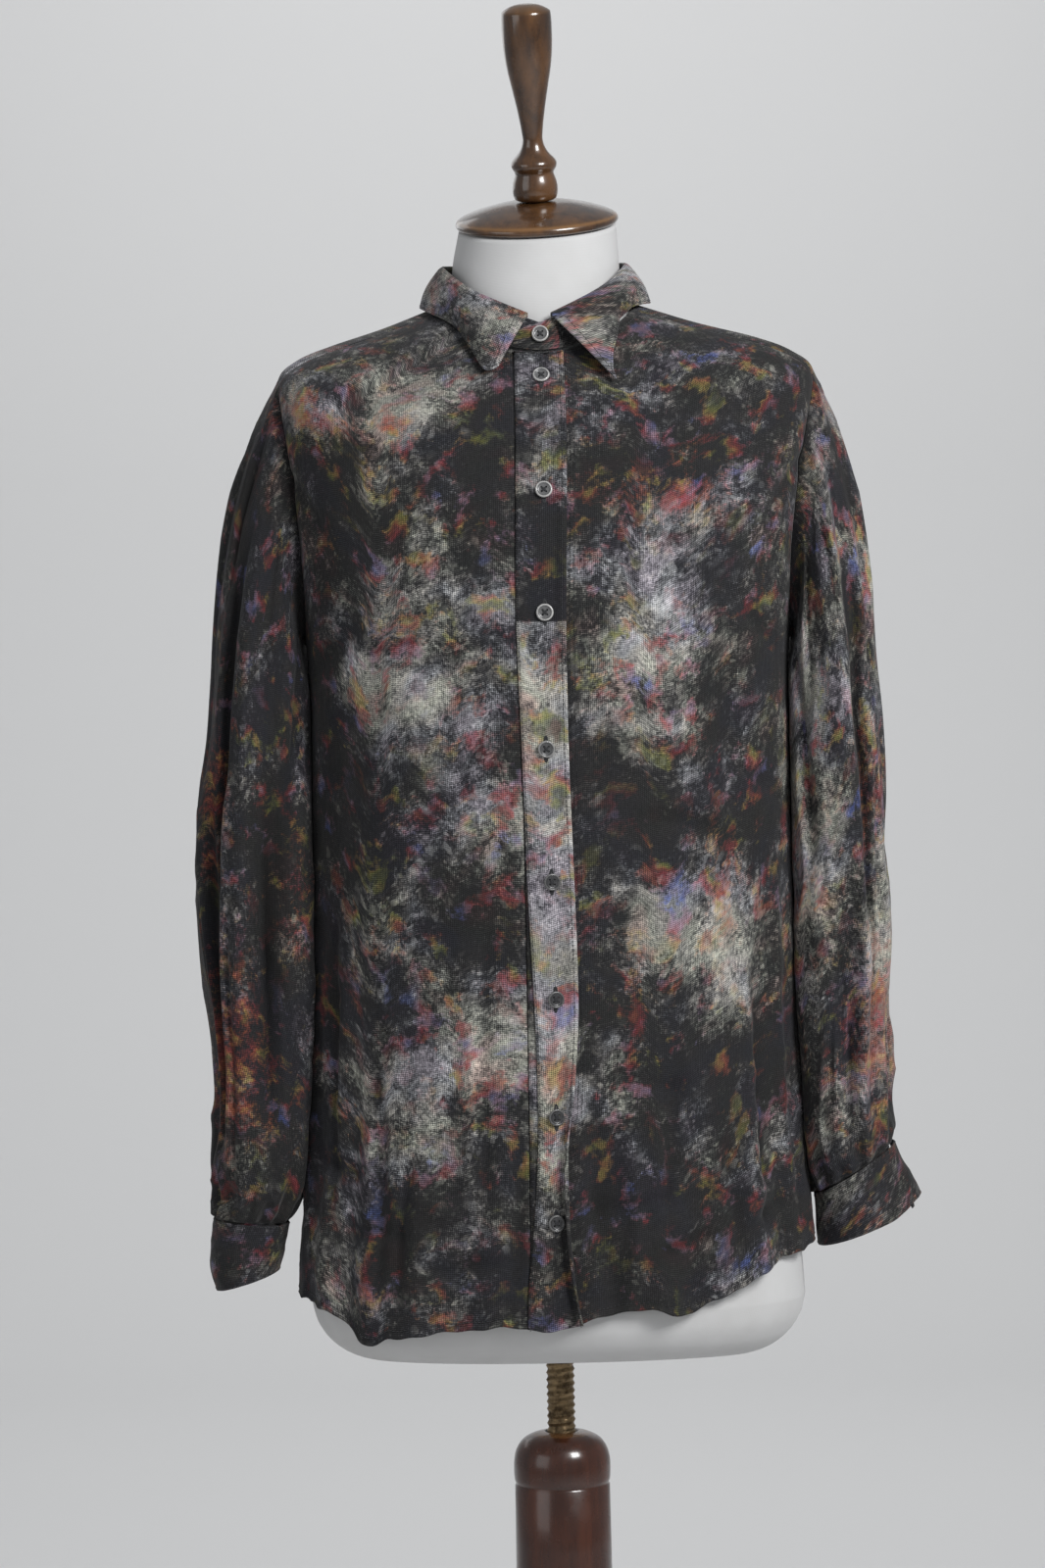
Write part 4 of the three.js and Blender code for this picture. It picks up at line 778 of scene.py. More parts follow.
def sleeve_grid(rings, creases, sign, rows=200):
    """A sleeve's points, the turn round it and the place down it of each."""
    angle, level = armhole_loop()
    edge = cloth_point(sign * angle, level)
    around = armhole_turns(edge)
    last = len(rings.rows) - 1
    down = lerp(0.03, last + SLEEVE_TUCK / SLEEVE_ROW, np.linspace(0, 1, rows + 1))[:, None]
    place = np.minimum(down, last)
    tuck = (down - place) * SLEEVE_ROW
    turns = np.broadcast_to(around[None, :], (rows + 1, len(around)))
    share = np.arange(len(around))[None, :] / len(around)
    from_cuff = place - last
    wave = gather_height(share, from_cuff, sign)
    rough = sleeve_crumples(share, place, from_cuff, sign)
    small = FINE_CREASE_DEPTH * crease_sum(FINE_CREASES, turns * sign, place, sharp=True)
    swell = GATHER_SWELL * ease(from_cuff, -1.6, -0.7) * (1 - ease(from_cuff, -0.5, 0))
    tucked = SLEEVE_TUCK_IN * ease(down - last, -0.25, 0.05)
    main = SLEEVE_CREASE_DEPTH * crease_sum(creases, turns, place)
    out = main + wave + rough + small + swell - tucked
    point = tube_point(rings, place, turns, sign, out)
    start = tube_point(rings, np.zeros((1, 1)), turns[:1], sign)
    fade = np.clip(1 - place / ARMHOLE_FADE_ROWS, 0, 1)[..., None]
    point = point + (edge[None] - start) * fade
    point[..., 2] -= tuck
    inner = ((1 - cosine(turns)) / 2) ** 1.5
    leaning = ease(place, 1.5, 4.5) * (1 - ease(from_cuff, -3, 0))
    point[..., 0] -= sign * SLEEVE_LEAN * inner * leaning
    point = kept_off_body(point, SLEEVE_CLEARANCE)
    return point, turns, np.broadcast_to(place, turns.shape)


def cuff_grid(rings, sign, closing, columns=150, rows=26):
    """A cuff's points: once round and on over its own start, where it is lifted by its gap."""
    overlap = closing["overlap"]
    turns = 360 + overlap
    share = np.linspace(0, 1, columns + 1)[None, :]
    place = np.linspace(0, len(rings.rows) - 1, rows + 1)[:, None]
    late = smooth((share * turns - (turns - 2.2 * overlap)) / (1.2 * overlap))
    rough = CUFF_CRUMPLE_HEIGHT * crumple(share * CUFF_CRUMPLES, place * 1.4, 41 + sign)
    around = closing["start"] - turns * share
    point = tube_point(rings, place, around, sign, (WALL + closing["gap"]) * late + rough)
    point[..., 2] += closing["rise"] * late * place / place.max()
    return point


def oval(angle, left, right, front, back):
    """Sideways and forward places on a ring that has its own reach on each side."""
    s, c = sine(angle), cosine(angle)
    return s * np.where(s < 0, left, right), -c * np.where(c > 0, front, back)


def fold_point(angle):
    """Points of the collar's fold."""
    z = FOLD_HEIGHT.read("z", FOLD_HEIGHT.place("angle", np.abs(turn_between(angle, 0))))
    return np.stack([*oval(angle, **FOLD), z], -1)


def stand_point(angle, share):
    """Points between the neck seam and the collar's fold."""
    return lerp(body_base(angle, LEVEL_NECK), fold_point(angle), np.asarray(share)[..., None])


def flat_out(points):
    """Level directions away from the body's axis."""
    return unit(points * np.array([1, 1, 0]))


def stand_grid(columns=190, rows=12):
    angle = np.linspace(-STAND_END_ANGLE, 360 + STAND_END_ANGLE, columns + 1)[None, :]
    share = np.linspace(STAND_LOW, STAND_TOP, rows + 1)[:, None]
    angle, share = np.broadcast_arrays(angle, share)
    point = stand_point(angle, share)
    lift = LAYER * smooth((angle - 300) / 45)
    return point + flat_out(point) * lift[..., None]


def level_at_height(angle, z):
    """The level at which the body is at a height, for each angle."""
    low, high = np.full(angle.shape, LEVEL_SHOULDER - 60.0), np.full(angle.shape, float(LEVEL_NECK))
    return halved(low, high, lambda middle: body_base(angle, middle)[..., 2] < z)


def collar_grid(columns=190, rows=30):
    along = np.linspace(-1, 1, columns + 1)
    fold_angle = -180 - along * (180 - LEAF_FRONT_ANGLE)
    place = LEAF_EDGE.place("along", along)
    edge_angle = LEAF_EDGE.read("angle", place)
    level = level_at_height(edge_angle, LEAF_EDGE.read("z", place))
    lift = LEAF_EDGE.read("lift", place)[:, None]
    edge = body_base(edge_angle, level) + body_normal(edge_angle, level) * lift
    out = flat_out(fold_point(fold_angle))
    grid = []
    last = len(COLLAR_FOLD.rows) - 1
    for step in np.linspace(0, last, COLLAR_FOLD_ROWS):
        away, share = COLLAR_FOLD.read("away", step), COLLAR_FOLD.read("share", step)
        point = stand_point(fold_angle, np.full(along.shape, share)) + out * away
        point[:, 2] += SEAM * (1 - step / last)
        grid.append(point)
    top = grid[-1]
    curl = np.exp(-((along + 0.97) / 0.05) ** 2)
    for share in np.arange(1, rows + 1) / rows:
        point = lerp(top, edge, share) + out * (LEAF_SWELL * np.sin(np.pi * share))
        ripple = 0.5 * share * np.sin(along * 31 + 2 * share) * (1 - np.abs(along))
        grid.append(point + out * (ripple + 1.6 * curl * share ** 3)[:, None])
    return np.array(grid)


# Broad washes of dye on the body: centre round it and up it, half sizes in millimetres, strength
CLOUDS = Table("angle level wide tall strength", [
    [-30, 1290, 62, 60, 0.95], [-16, 1205, 44, 46, 0.75], [30, 1320, 66, 48, 1.0],
    [26, 1265, 58, 40, 0.6], [36, 1120, 52, 48, 0.75], [-22, 1040, 56, 62, 1.0],
    [-46, 960, 40, 52, 0.6], [18, 985, 22, 30, 0.4], [-62, 1500, 60, 22, 0.9],
    [-50, 1524, 60, 20, 0.8], [60, 1512, 40, 14, 0.4], [120, 1330, 60, 70, 0.8],
    [150, 1180, 70, 60, 0.9], [205, 1280, 80, 70, 1.0], [232, 1090, 60, 60, 0.7],
    [178, 980, 70, 60, 0.8], [180, 1490, 90, 26, 0.8],
])
# Warm dye on the body, the same way
EMBERS = Table("angle level wide tall strength", [
    [-58, 1490, 62, 16, 1.0], [-34, 1498, 30, 14, 0.8], [30, 1420, 46, 34, 0.9],
    [14, 1444, 26, 20, 0.7], [44, 1150, 20, 42, 0.9], [-40, 1330, 34, 22, 0.6],
    [-50, 1110, 30, 36, 0.55], [20, 1110, 30, 30, 0.6], [-48, 880, 24, 14, 0.7],
    [60, 900, 24, 14, 0.5], [140, 1250, 50, 40, 0.8], [215, 1180, 50, 40, 0.8],
    [180, 1400, 60, 26, 0.8], [180, 900, 60, 30, 0.6],
])
# Dye on the sleeves: turn round them, place down them, half sizes in turns and places, strength
SLEEVE_CLOUDS = Table("around place wide tall strength", [
    [60, 1.5, 50, 1.6, 0.35], [40, 6.5, 46, 2.6, 0.5], [20, 11, 44, 2.2, 0.7],
    [90, 9, 40, 2, 0.35], [-60, 4, 60, 2.5, 0.6], [-90, 10, 60, 2.5, 0.7], [150, 5, 40, 3, 0.4],
])
SLEEVE_EMBERS = Table("around place wide tall strength", [
    [30, 0.8, 50, 0.9, 0.6], [40, 8.6, 40, 1.5, 0.8], [50, 12.6, 60, 2.0, 1.0],
    [-60, 7, 50, 2, 0.7], [-80, 13, 60, 1.6, 0.8], [150, 9, 50, 2, 0.6],
])


def with_painted_shade(wash, height):
    """The wash with less of it in the hollows of the creases, which paints shade there."""
    return wash + PAINTED_CREASE_SHADE * np.minimum(height, 0)


def dye(table, around, up, degree=1.0):
    """How much dye lies at each place, where degree is a degree's length in the table's measure."""
    strength = np.zeros(around.shape)
    for centre, middle, wide, tall, most in table.rows:
        across = turn_between(around, centre) * degree / wide
        strength = np.maximum(strength, most * np.exp(-across ** 2 - ((up - middle) / tall) ** 2))
    return strength


# How strong the clouds are on each sleeve, and the wash that lies under them
SLEEVE_WASH = {"left": (1.25, 0.16), "right": (0.4, -0.16)}
CUFF_WASH = 0.12
STAND_WASH = 0.2
COLLAR_WASH = 0.45
COLLAR_WARM = 0.15
# Where each piece was cut from the print, in metres across it and up it
PRINT_PLACES = {
    "front_left": (0.4, 0), "front_right": (1.3, 0.2), "back": (2.1, 0.5), "yoke": (3.2, 0.1),
    "button_band": (4.6, 0.3), "sleeve_left": (6.5, 0.7), "sleeve_right": (4.5, 0.7),
    "cuff_left": (9.5, 0.2), "cuff_right": (7.5, 0.2), "collar_stand": (10.5, 0.1),
    "collar": (12.5, 0.4),
}


# Meshes

def cloth_lengths(grid, ring, origin):
    """How far each point lies along its row and up its column from the origin's, in metres."""
    wide = np.concatenate([grid, grid[:, :1]], 1) if ring else grid
    across = np.linalg.norm(np.diff(wide, axis=1), axis=-1)
    up = np.linalg.norm(np.diff(wide, axis=0), axis=-1)
    across = np.concatenate([np.zeros((len(wide), 1)), np.cumsum(across, 1)], 1)
    up = np.concatenate([np.zeros((1, wide.shape[1])), np.cumsum(up, 0)], 0)
    row, column = origin
    return np.stack([across - across[:, column, None], up - up[row]], -1) * MM


def set_attribute(mesh, name, values):
    """Stores a number for each point, or one number for all of them."""
    values = np.broadcast_to(np.ravel(values), len(mesh.vertices))
    attribute = mesh.attributes.new(name, "FLOAT", "POINT")
    attribute.data.foreach_set("value", np.ascontiguousarray(values, np.float32))


def new_piece(name, mesh, look, body, slot, *nodes):
    """A piece that rides a body and takes the place of nodes."""
    mesh.materials.clear()
    mesh.materials.append(look)
    mesh.polygons.foreach_set("use_smooth", np.ones(len(mesh.polygons), bool))
    piece = bpy.data.objects.new(name, mesh)
    bpy.context.scene.collection.objects.link(piece)
    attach(piece, body)
    if nodes:
        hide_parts(*nodes)
    return piece


def grid_mesh(name, grid, outwards, ring=False, shift=(0, 0), origin=(0, 0)):
    """A mesh through rows of points in millimetres, facing outwards, with its UV map in metres."""
    rows, columns = grid.shape[:2]
    wide = columns if ring else columns - 1
    r, c = np.meshgrid(np.arange(rows - 1), np.arange(wide), indexing="ij")
    corner = np.stack([r, c, r, c + 1, r + 1, c + 1, r + 1, c], -1).reshape(-1, 4, 2)
    points = grid.reshape(-1, 3)
    index = corner[..., 0] * columns + corner[..., 1] % columns
    a, b, d = (points[index[:, k]] for k in (0, 1, 3))
    normal = np.cross(b - a, d - a)
    if (normal * np.broadcast_to(outwards, grid.shape).reshape(-1, 3)[index[:, 0]]).sum() < 0:
        index, corner = index[:, ::-1], corner[:, ::-1]
    mesh = bpy.data.meshes.new(name)
    mesh.from_pydata((points * MM).tolist(), [], index.tolist())
    lengths = cloth_lengths(grid, ring, origin)
    flat = lengths[corner[..., 0], corner[..., 1]] + np.array(shift)
    mesh.uv_layers.new(name="UVMap").data.foreach_set("uv", flat.astype(np.float32).ravel())
    mesh.update()
    return mesh


def cloth_piece(name, grid, outwards, wash, warm, ring=False, origin=(0, 0)):
    """A thin shell of dyed gauze on its solid's form. Its thickness goes inwards."""
    mesh = grid_mesh(name + "_cloth", grid, outwards, ring, PRINT_PLACES[name], origin)
    # The wash also carries the painted shade of the crease hollows
    set_attribute(mesh, "wash", wash)
    set_attribute(mesh, "warm", warm)
    piece = new_piece(name + "_cloth", mesh, look_named("cotton"), "form", "dyed_cotton", name)
    shell = piece.modifiers.new("thickness", "SOLIDIFY")
    shell.thickness = bpy.context.scene.shirt_sizes.cloth_thickness
    shell.offset = -1
    return piece


def away_from_axis(grid):
    """Directions away from the middle of the body."""
    return grid - np.array([0, 0, BODY_MIDDLE])


def away_from_rows(grid):
    """Directions away from the middle of each ring."""
    return grid - grid.mean(1, keepdims=True)


def corner_cut(profile, times=2):
    """A profile with its corners cut, which rounds them."""
    points = np.array(profile, float)
    for _ in range(times):
        low = lerp(points[:-1], points[1:], 0.25)
        high = lerp(points[:-1], points[1:], 0.75)
        between = np.stack([low, high], 1).reshape(-1, 2)
        points = np.concatenate([points[:1], between[1:-1], points[-1:]])
    return points


def turned_grid(profile, segments):
    turn = np.linspace(0, 2 * np.pi, segments, endpoint=False)[None, :]
    r, z = profile[:, 0][:, None], profile[:, 1][:, None]
    return np.stack([r * np.cos(turn), r * np.sin(turn), np.broadcast_to(z, (len(profile), segments))], -1)


def side_faces(rows, columns, looped=False):
    """Four-sided faces between rings of points. Looped, the last ring also joins the first."""
    r, c = np.meshgrid(np.arange(rows if looped else rows - 1), np.arange(columns), indexing="ij")
    after, beside = (r + 1) % rows, (c + 1) % columns
    corners = [(r, c), (r, beside), (after, beside), (after, c)]
    return np.stack([row * columns + column for row, column in corners], -1).reshape(-1, 4)


def closed_mesh(name, points, sides, *ends):
    """A closed mesh from points in millimetres, its sides and its ends' triangles, facing outwards."""
    mesh = bpy.data.meshes.new(name)
    faces = [face for group in (sides, *ends) for face in group.tolist()]
    mesh.from_pydata((points * MM).tolist(), [], faces)
    mesh.update()
    triangles = np.concatenate([sides[:, :3], sides[:, [0, 2, 3]], *ends])
    a, b, d = (points[triangles[:, k]] for k in range(3))
    if (a * np.cross(b, d)).sum() < 0:
        mesh.flip_normals()
    return mesh


def solid_mesh(name, grid):
    """A closed mesh through rings of points, with one point at each end."""
    rows, columns = grid.shape[:2]
    points = np.concatenate([grid.reshape(-1, 3), [grid[0].mean(0), grid[-1].mean(0)]])
    c = np.arange(columns)
    beside, last = (c + 1) % columns, (rows - 1) * columns
    bottom = np.stack([np.full(columns, rows * columns), beside, c], -1)
    top = np.stack([np.full(columns, rows * columns + 1), last + c, last + beside], -1)
    return closed_mesh(name, points, side_faces(rows, columns), bottom, top)


def turned_piece(name, profile, segments, place, look, body, slot, *nodes):
    """A piece turned from a profile, upright at the origin until it is put in its place."""
    mesh = solid_mesh(name, turned_grid(corner_cut(profile)[1:-1], segments))
    metres = place.copy()
    metres.translation = place.translation * MM
    mesh.transform(metres)
    return new_piece(name, mesh, look, body, slot, *nodes)


# Shader formulas

class Value:
    """A shader socket that can be written in a formula."""

    def __init__(self, look, socket):
        self.look = look
        self.socket = socket

    def __add__(self, other):
        return self.look.calculate("ADD", self, other)

    def __sub__(self, other):
        return self.look.calculate("SUBTRACT", self, other)

    def __rsub__(self, other):
        return self.look.calculate("SUBTRACT", other, self)

    def __mul__(self, other):
        return self.look.calculate("MULTIPLY", self, other)

    __radd__ = __add__
    __rmul__ = __mul__

    def sin(self):
        return self.look.calculate("SINE", self)

    def between(self, low, high):
        """0 below low and 1 above high, smooth between them."""
        limits = {"Value": self, "From Min": low, "From Max": high}
        return self.look.node("ShaderNodeMapRange", {"interpolation_type": "SMOOTHSTEP"}, limits)

    def mix(self, first, second):
        """first where this is 0, second where it is 1."""
        colours = {"Factor": self, 6: first, 7: second}
        return self.look.node("ShaderNodeMix", {"data_type": "RGBA"}, colours, 2)

    def times(self, other):
        """Two colours multiplied."""
        colours = {"Factor": 1.0, 6: self, 7: other}
        return self.look.node("ShaderNodeMix", {"data_type": "RGBA", "blend_type": "MULTIPLY"}, colours, 2)

    def ramp(self, *stops):
        return self.look.node("ShaderNodeValToRGB", {"stops": stops}, {"Fac": self})

    def part(self, axis):
        return self.look.node("ShaderNodeSeparateXYZ", {}, {"Vector": self}, axis)


class Look:
    """A material that is built from formulas."""

    def __init__(self, name, **fixed):
        self.material = bpy.data.materials.new(name)
        self.material.use_nodes = True
        self.tree = self.material.node_tree
        self.tree.nodes.clear()
        self.shader = self.tree.nodes.new("ShaderNodeBsdfPrincipled")
        output = self.tree.nodes.new("ShaderNodeOutputMaterial")
        self.tree.links.new(self.shader.outputs[0], output.inputs["Surface"])
        for name, value in fixed.items():
            self.shader.inputs[name.replace("_", " ")].default_value = value

    def node(self, kind, settings, inputs, output=0):
        made = self.tree.nodes.new(kind)
        for name, value in settings.items():
            if name == "stops":
                self.set_stops(made.color_ramp, value)
            else:
                setattr(made, name, value)
        for name, value in inputs.items():
            self.set_input(made.inputs[name], value)
        return Value(self, made.outputs[output])

    def calculate(self, operation, *values):
        return self.node("ShaderNodeMath", {"operation": operation}, dict(enumerate(values)))

    def set_stops(self, ramp, stops):
        while len(ramp.elements) < len(stops):
            ramp.elements.new(1)
        for element, (position, colour) in zip(ramp.elements, stops):
            element.position = position
            element.color = (*colour, 1)

    def set_input(self, socket, value):
        if isinstance(value, Value):
            self.tree.links.new(value.socket, socket)
        elif isinstance(value, tuple) and len(value) == 3 and socket.type == "RGBA":
            socket.default_value = (*value, 1)
        else:
            socket.default_value = value

    def coordinates(self, kind="UV"):
        return self.node("ShaderNodeTexCoord", {}, {}, kind)

    def stretched(self, vector, size, turn=0.0):
        """Coordinates that count in steps of a size, along axes turned by some degrees."""
        inputs = {"Vector": vector, "Scale": size, "Rotation": (0, 0, math.radians(turn))}
        return self.node("ShaderNodeMapping", {"vector_type": "TEXTURE"}, inputs)

    def shifted(self, vector, by, amount):
        """Coordinates moved by a colour times an amount."""
        inputs = {0: by, 1: (amount, amount, amount), 2: vector}
        return self.node("ShaderNodeVectorMath", {"operation": "MULTIPLY_ADD"}, inputs)

    def noise(self, vector, scale, detail=3.0, roughness=0.55, output="Fac"):
        inputs = {"Vector": vector, "Scale": scale, "Detail": detail, "Roughness": roughness}
        return self.node("ShaderNodeTexNoise", {}, inputs, output)

    def attribute(self, name):
        return self.node("ShaderNodeAttribute", {"attribute_name": name}, {}, "Fac")

    def bump(self, height, strength, distance, below=None):
        inputs = {"Height": height, "Strength": strength, "Distance": distance}
        if below:
            inputs["Normal"] = below
        return self.node("ShaderNodeBump", {}, inputs)

    def finish(self, **links):
        for name, value in links.items():
            self.tree.links.new(value.socket, self.shader.inputs[name.replace("_", " ")])
        return self.material


# The weave's thread spacing, and the steps of the form's knit, in metres
THREAD_SPACING = 0.0013
KNIT_COURSE = 0.0011
KNIT_WALES = 700
# Colours along the ramps of the print: bare cloth to pale dye, the dyes, and faint tints
PALE_STROKES = (
    (0.0, (0.024, 0.025, 0.028)), (0.3, (0.10, 0.10, 0.104)), (0.6, (0.28, 0.28, 0.278)),
    (1.0, (0.66, 0.645, 0.61)),
)
DYES = (
    (0.0, (0.08, 0.12, 0.36)), (0.16, (0.15, 0.14, 0.27)), (0.30, (0.32, 0.18, 0.24)),
    (0.42, (0.30, 0.032, 0.038)), (0.50, (0.17, 0.035, 0.03)), (0.58, (0.33, 0.08, 0.04)),
    (0.66, (0.38, 0.23, 0.07)), (0.76, (0.22, 0.22, 0.045)), (0.88, (0.07, 0.085, 0.045)),
    (1.0, (0.09, 0.05, 0.035)),
)
TINTS = (
    (0.3, (1.0, 0.93, 1.06)), (0.42, (0.96, 0.99, 1.05)), (0.5, (1.04, 1.0, 0.95)),
    (0.6, (0.97, 1.0, 0.88)), (0.7, (1.14, 0.92, 0.84)),
)

# Layers of brush strokes: width and length in metres, direction in degrees, how many, opacity
BRUSH_LAYERS = Table("across along turn density opacity", [
    [0.0052, 0.0072, -35, 0.7, 0.30],
    [0.0026, 0.0046, 62, 0.6, 0.34],
    [0.0018, 0.0024, -20, 0.5, 0.34],
])


def brush_strokes(look, cloth, row, density):
    """One layer of brush strokes: how much each covers, and its colour."""
    across, along, turn, many, opacity = row
    inputs = {"Vector": look.stretched(cloth, (across, along, 1), turn), "Scale": 1.0, "Randomness": 1.0}
    cells = look.node("ShaderNodeTexVoronoi", {"voronoi_dimensions": "2D"}, inputs, "Color")
    distance = Value(look, cells.socket.node.outputs["Distance"])
    shown = (density * many - cells.part(2)).between(-0.15, 0.35)
    return shown * (0.78 - distance).between(0, 0.5) * opacity, cells.part(0).ramp(*PALE_STROKES)


def gauze_weave(look, cloth):
    """The open weave's height, from uneven threads up and across."""
    threads_up = (cloth.part(0) * (2 * math.pi / THREAD_SPACING)).sin() * 0.5 + 0.5
    threads_across = (cloth.part(1) * (2 * math.pi / THREAD_SPACING)).sin() * 0.5 + 0.5
    slubs = look.noise(look.stretched(cloth, (0.014, 0.0009, 1)), 1, 2)
    slubs_up = look.noise(look.stretched(cloth, (0.0009, 0.014, 1)), 1, 2)
    return threads_across * (0.2 + slubs * 0.8) + threads_up * (0.1 + slubs_up * 0.8)


def dyed_cotton(colours):
    """Dark open gauze, painted over with brushed washes and patches of colour, with painted shade in its
    crease hollows.
    """
    sheen = {"Sheen_Weight": 0.09, "Sheen_Roughness": 0.45}
    look = Look("dyed_cotton", Roughness=0.86, Specular_IOR_Level=0.25, **sheen)
    cloth = look.coordinates()
    wash, warm = look.attribute("wash"), look.attribute("warm")
    drift = look.shifted(cloth, look.noise(cloth, 11, 2, 0.5, "Color"), 0.03)
    rough = look.shifted(drift, look.noise(cloth, 210, 2, 0.6, "Color"), 0.0034)
    weave = gauze_weave(look, cloth)
    broad = look.noise(drift, 15, 3, 0.6)
    patch = look.noise(drift, 46, 3, 0.6)
    region = look.noise(drift, 24, 2, 0.5)
    strokes = look.noise(look.stretched(rough, (0.0036, 0.0085, 1), -52), 1, 3, 0.6)
    mottle = look.noise(rough, 150, 4, 0.62)
    brushed = region.between(0.46, 0.62)
    dabs = mottle + (strokes - mottle) * brushed
    grain = look.noise(look.stretched(cloth, (0.0012, 0.0034, 1)), 1, 2, 0.7)
    grain_across = look.noise(look.stretched(cloth, (0.0034, 0.0012, 1)), 1, 2, 0.7)
    speckle = grain + grain_across - 1.0
    # Where dye gathers, how pale it is there, and its layers, from the ground up
    density = wash * 0.8 + warm * 0.25 + (broad - 0.5) * 2.4 + (patch - 0.5) * 1.2 + 0.10
    pigment = (density + (dabs - 0.5) * 1.5 + speckle * 0.9 + (weave - 0.5) * 0.35).between(0.1, 1.15)
    ground = patch.mix(colours.ground, colours.ground_brown)
    tone = (density * 0.5 + dabs * 0.75 + speckle * 0.45).between(0.2, 1.2)
    painted = pigment.mix(ground, tone.ramp(*PALE_STROKES))
    for row in BRUSH_LAYERS.rows:
        cover, colour = brush_strokes(look, rough, row, density)
        painted = cover.mix(painted, colour)
    calm = look.noise(drift, 19, 2, 0.5) + dabs * 0.10 + speckle * 0.05 + (wash - 0.7) * 0.12
    calmed = calm.between(0.58, 0.64) * density.between(0.15, 0.75) * 0.72
    wash_colour = (speckle * 0.8 + mottle * 0.5).between(-0.3, 0.9).mix(colours.wash_grey, colours.wash_pale)
    painted = calmed.mix(painted, wash_colour)
    painted = painted.times(region.ramp(*TINTS))
    hue = (look.noise(rough, 34, 2, 0.5) - 0.27) * 2.15
    spots = look.noise(rough, 52, 3, 0.6) * 0.9 + speckle * 0.10 + dabs * 0.26 + density * 0.05
    coloured = look.noise(drift, 18, 2, 0.5).between(0.38, 0.56) * 0.7 + 0.3
    spotted = spots.between(0.60, 0.73) * (0.36 + pigment * 0.40) * coloured
    painted = spotted.mix(painted, hue.ramp(*DYES))
    flecks = look.noise(rough, 120, 3, 0.7)
    glow = warm * 0.36 + dabs * 0.35 + flecks * 0.6 + speckle * 0.2 + (patch - 0.5) * 0.6
    ember = look.noise(rough, 60, 3, 0.6) + 0.04
    painted = (glow.between(0.64, 0.92) * 0.66).mix(painted, ember.ramp(*DYES))
    shade = (weave.between(0.05, 1.0) * 0.85 + 0.42) * (speckle * 0.9 + 1.03)
    # Painted shade: the cloth darkens where the wash falls below zero, down in the crease hollows
    shade = shade * (wash.between(-0.75, -0.1) * 0.6 + 0.4)
    colour = painted.times(look.node("ShaderNodeCombineXYZ", {}, {0: shade, 1: shade, 2: shade}))
    puckers = look.noise(look.stretched(cloth, (0.005, 0.014, 1)), 1, 3, 0.6)
    relief = look.bump(puckers, 0.5, 0.0012)
    return look.finish(Base_Color=colour, Normal=look.bump(weave, 0.4, 0.0004, relief))


def shell_look(colours):
    """Smoky button shell with a silvery rim, and painted shade on a button that leans into its hole. Its UV
    map counts in button radii from the middle.
    """
    look = Look("button_shell", Roughness=0.32, Coat_Weight=0.35, Coat_Roughness=0.08)
    place = look.coordinates()
    across, up = place.part(0), place.part(1)
    radius = look.calculate("SQRT", across * across + up * up)
    rim = radius.between(0.76, 0.86)
    smoke = look.noise(place, 3.2, 5, 0.6)
    middle = smoke.mix(colours.button_dark, colours.button_smoke)
    pearl = smoke.mix(colours.button_smoke, colours.button_rim)
    # Painted shade on a button that leans into its hole
    with_painted_shade = (look.attribute("smoked") * 0.8).mix(rim.mix(middle, pearl), colours.button_shade)
    return look.finish(Base_Color=with_painted_shade, Normal=look.bump(smoke, 0.05, 0.0004))


def thread_look(colours):
    look = Look("thread", Roughness=0.8, Sheen_Weight=0.2)
    place = look.coordinates("Object")
    fibres = look.noise(place, 4200, 2)
    colour = fibres.mix(colours.ground, colours.thread)
    return look.finish(Base_Color=colour, Normal=look.bump(fibres, 0.3, 0.0002))


def jersey_look(colours):
    """Off-white fine knit with a little grey where it has been handled."""
    look = Look("form_jersey", Roughness=0.88, Sheen_Weight=0.1)
    place = look.coordinates("Object")
    turn = look.calculate("ARCTAN2", place.part(0), place.part(1))
    courses = (place.part(2) * (2 * math.pi / KNIT_COURSE)).sin()
    wales = (turn * KNIT_WALES).sin()
    knit = courses * 0.5 + wales * 0.5
    soil = look.noise(place, 9, 4, 0.6).between(0.35, 0.75)
    blotch = look.noise(place, 40, 3, 0.6)
    colour = (soil * 0.5 + blotch * 0.25).mix(colours.jersey, colours.jersey_worn)
    soft = look.bump(look.noise(place, 120, 3), 0.12, 0.001)
    return look.finish(Base_Color=colour, Normal=look.bump(knit, 0.12, 0.0002, soft))


def wood_look(name, dark, light, edge, gloss):
    """Turned wood: grain up the piece, darker in its pores, paler and rougher at its marked edges, which on
    the cap's rim is a painted highlight.
    """
    look = Look(name, Roughness=0.3, Coat_Weight=gloss, Coat_Roughness=0.12)
    place = look.coordinates("Object")
    bent = look.noise(place, 14, 2, 0.5, "Color")
    flow = look.node("ShaderNodeMix", {"data_type": "VECTOR"}, {"Factor": 0.012, 4: place, 5: bent}, 1)
    figure = look.noise(look.stretched(flow, (0.0105, 0.0105, 0.14)), 1, 5, 0.6)
    pores = look.noise(look.stretched(flow, (0.0011, 0.0011, 0.025)), 1, 3, 0.6)
    cloudy = look.noise(place, 22, 3)
    grain = (figure * 0.7 + cloudy * 0.4).between(0.35, 0.8)
    colour = grain.mix(dark, light)
    colour = (pores.between(0.55, 0.75) * 0.45).mix(colour, dark)
    worn = look.attribute("worn")
    rough = look.noise(place, 60, 3).between(0.3, 0.8) * 0.16 + 0.2 + worn * 0.12
    relief = look.bump(pores, 0.06, 0.0003)
    return look.finish(Base_Color=worn.mix(colour, edge), Roughness=rough, Normal=relief)


def cap_look(colours):
    return wood_look("cap_wood", colours.cap_dark, colours.cap_light, colours.wood_edge, 0.9)


def pole_look(colours):
    return wood_look("pole_wood", colours.pole_dark, colours.pole_light, colours.wood_edge, 0.45)


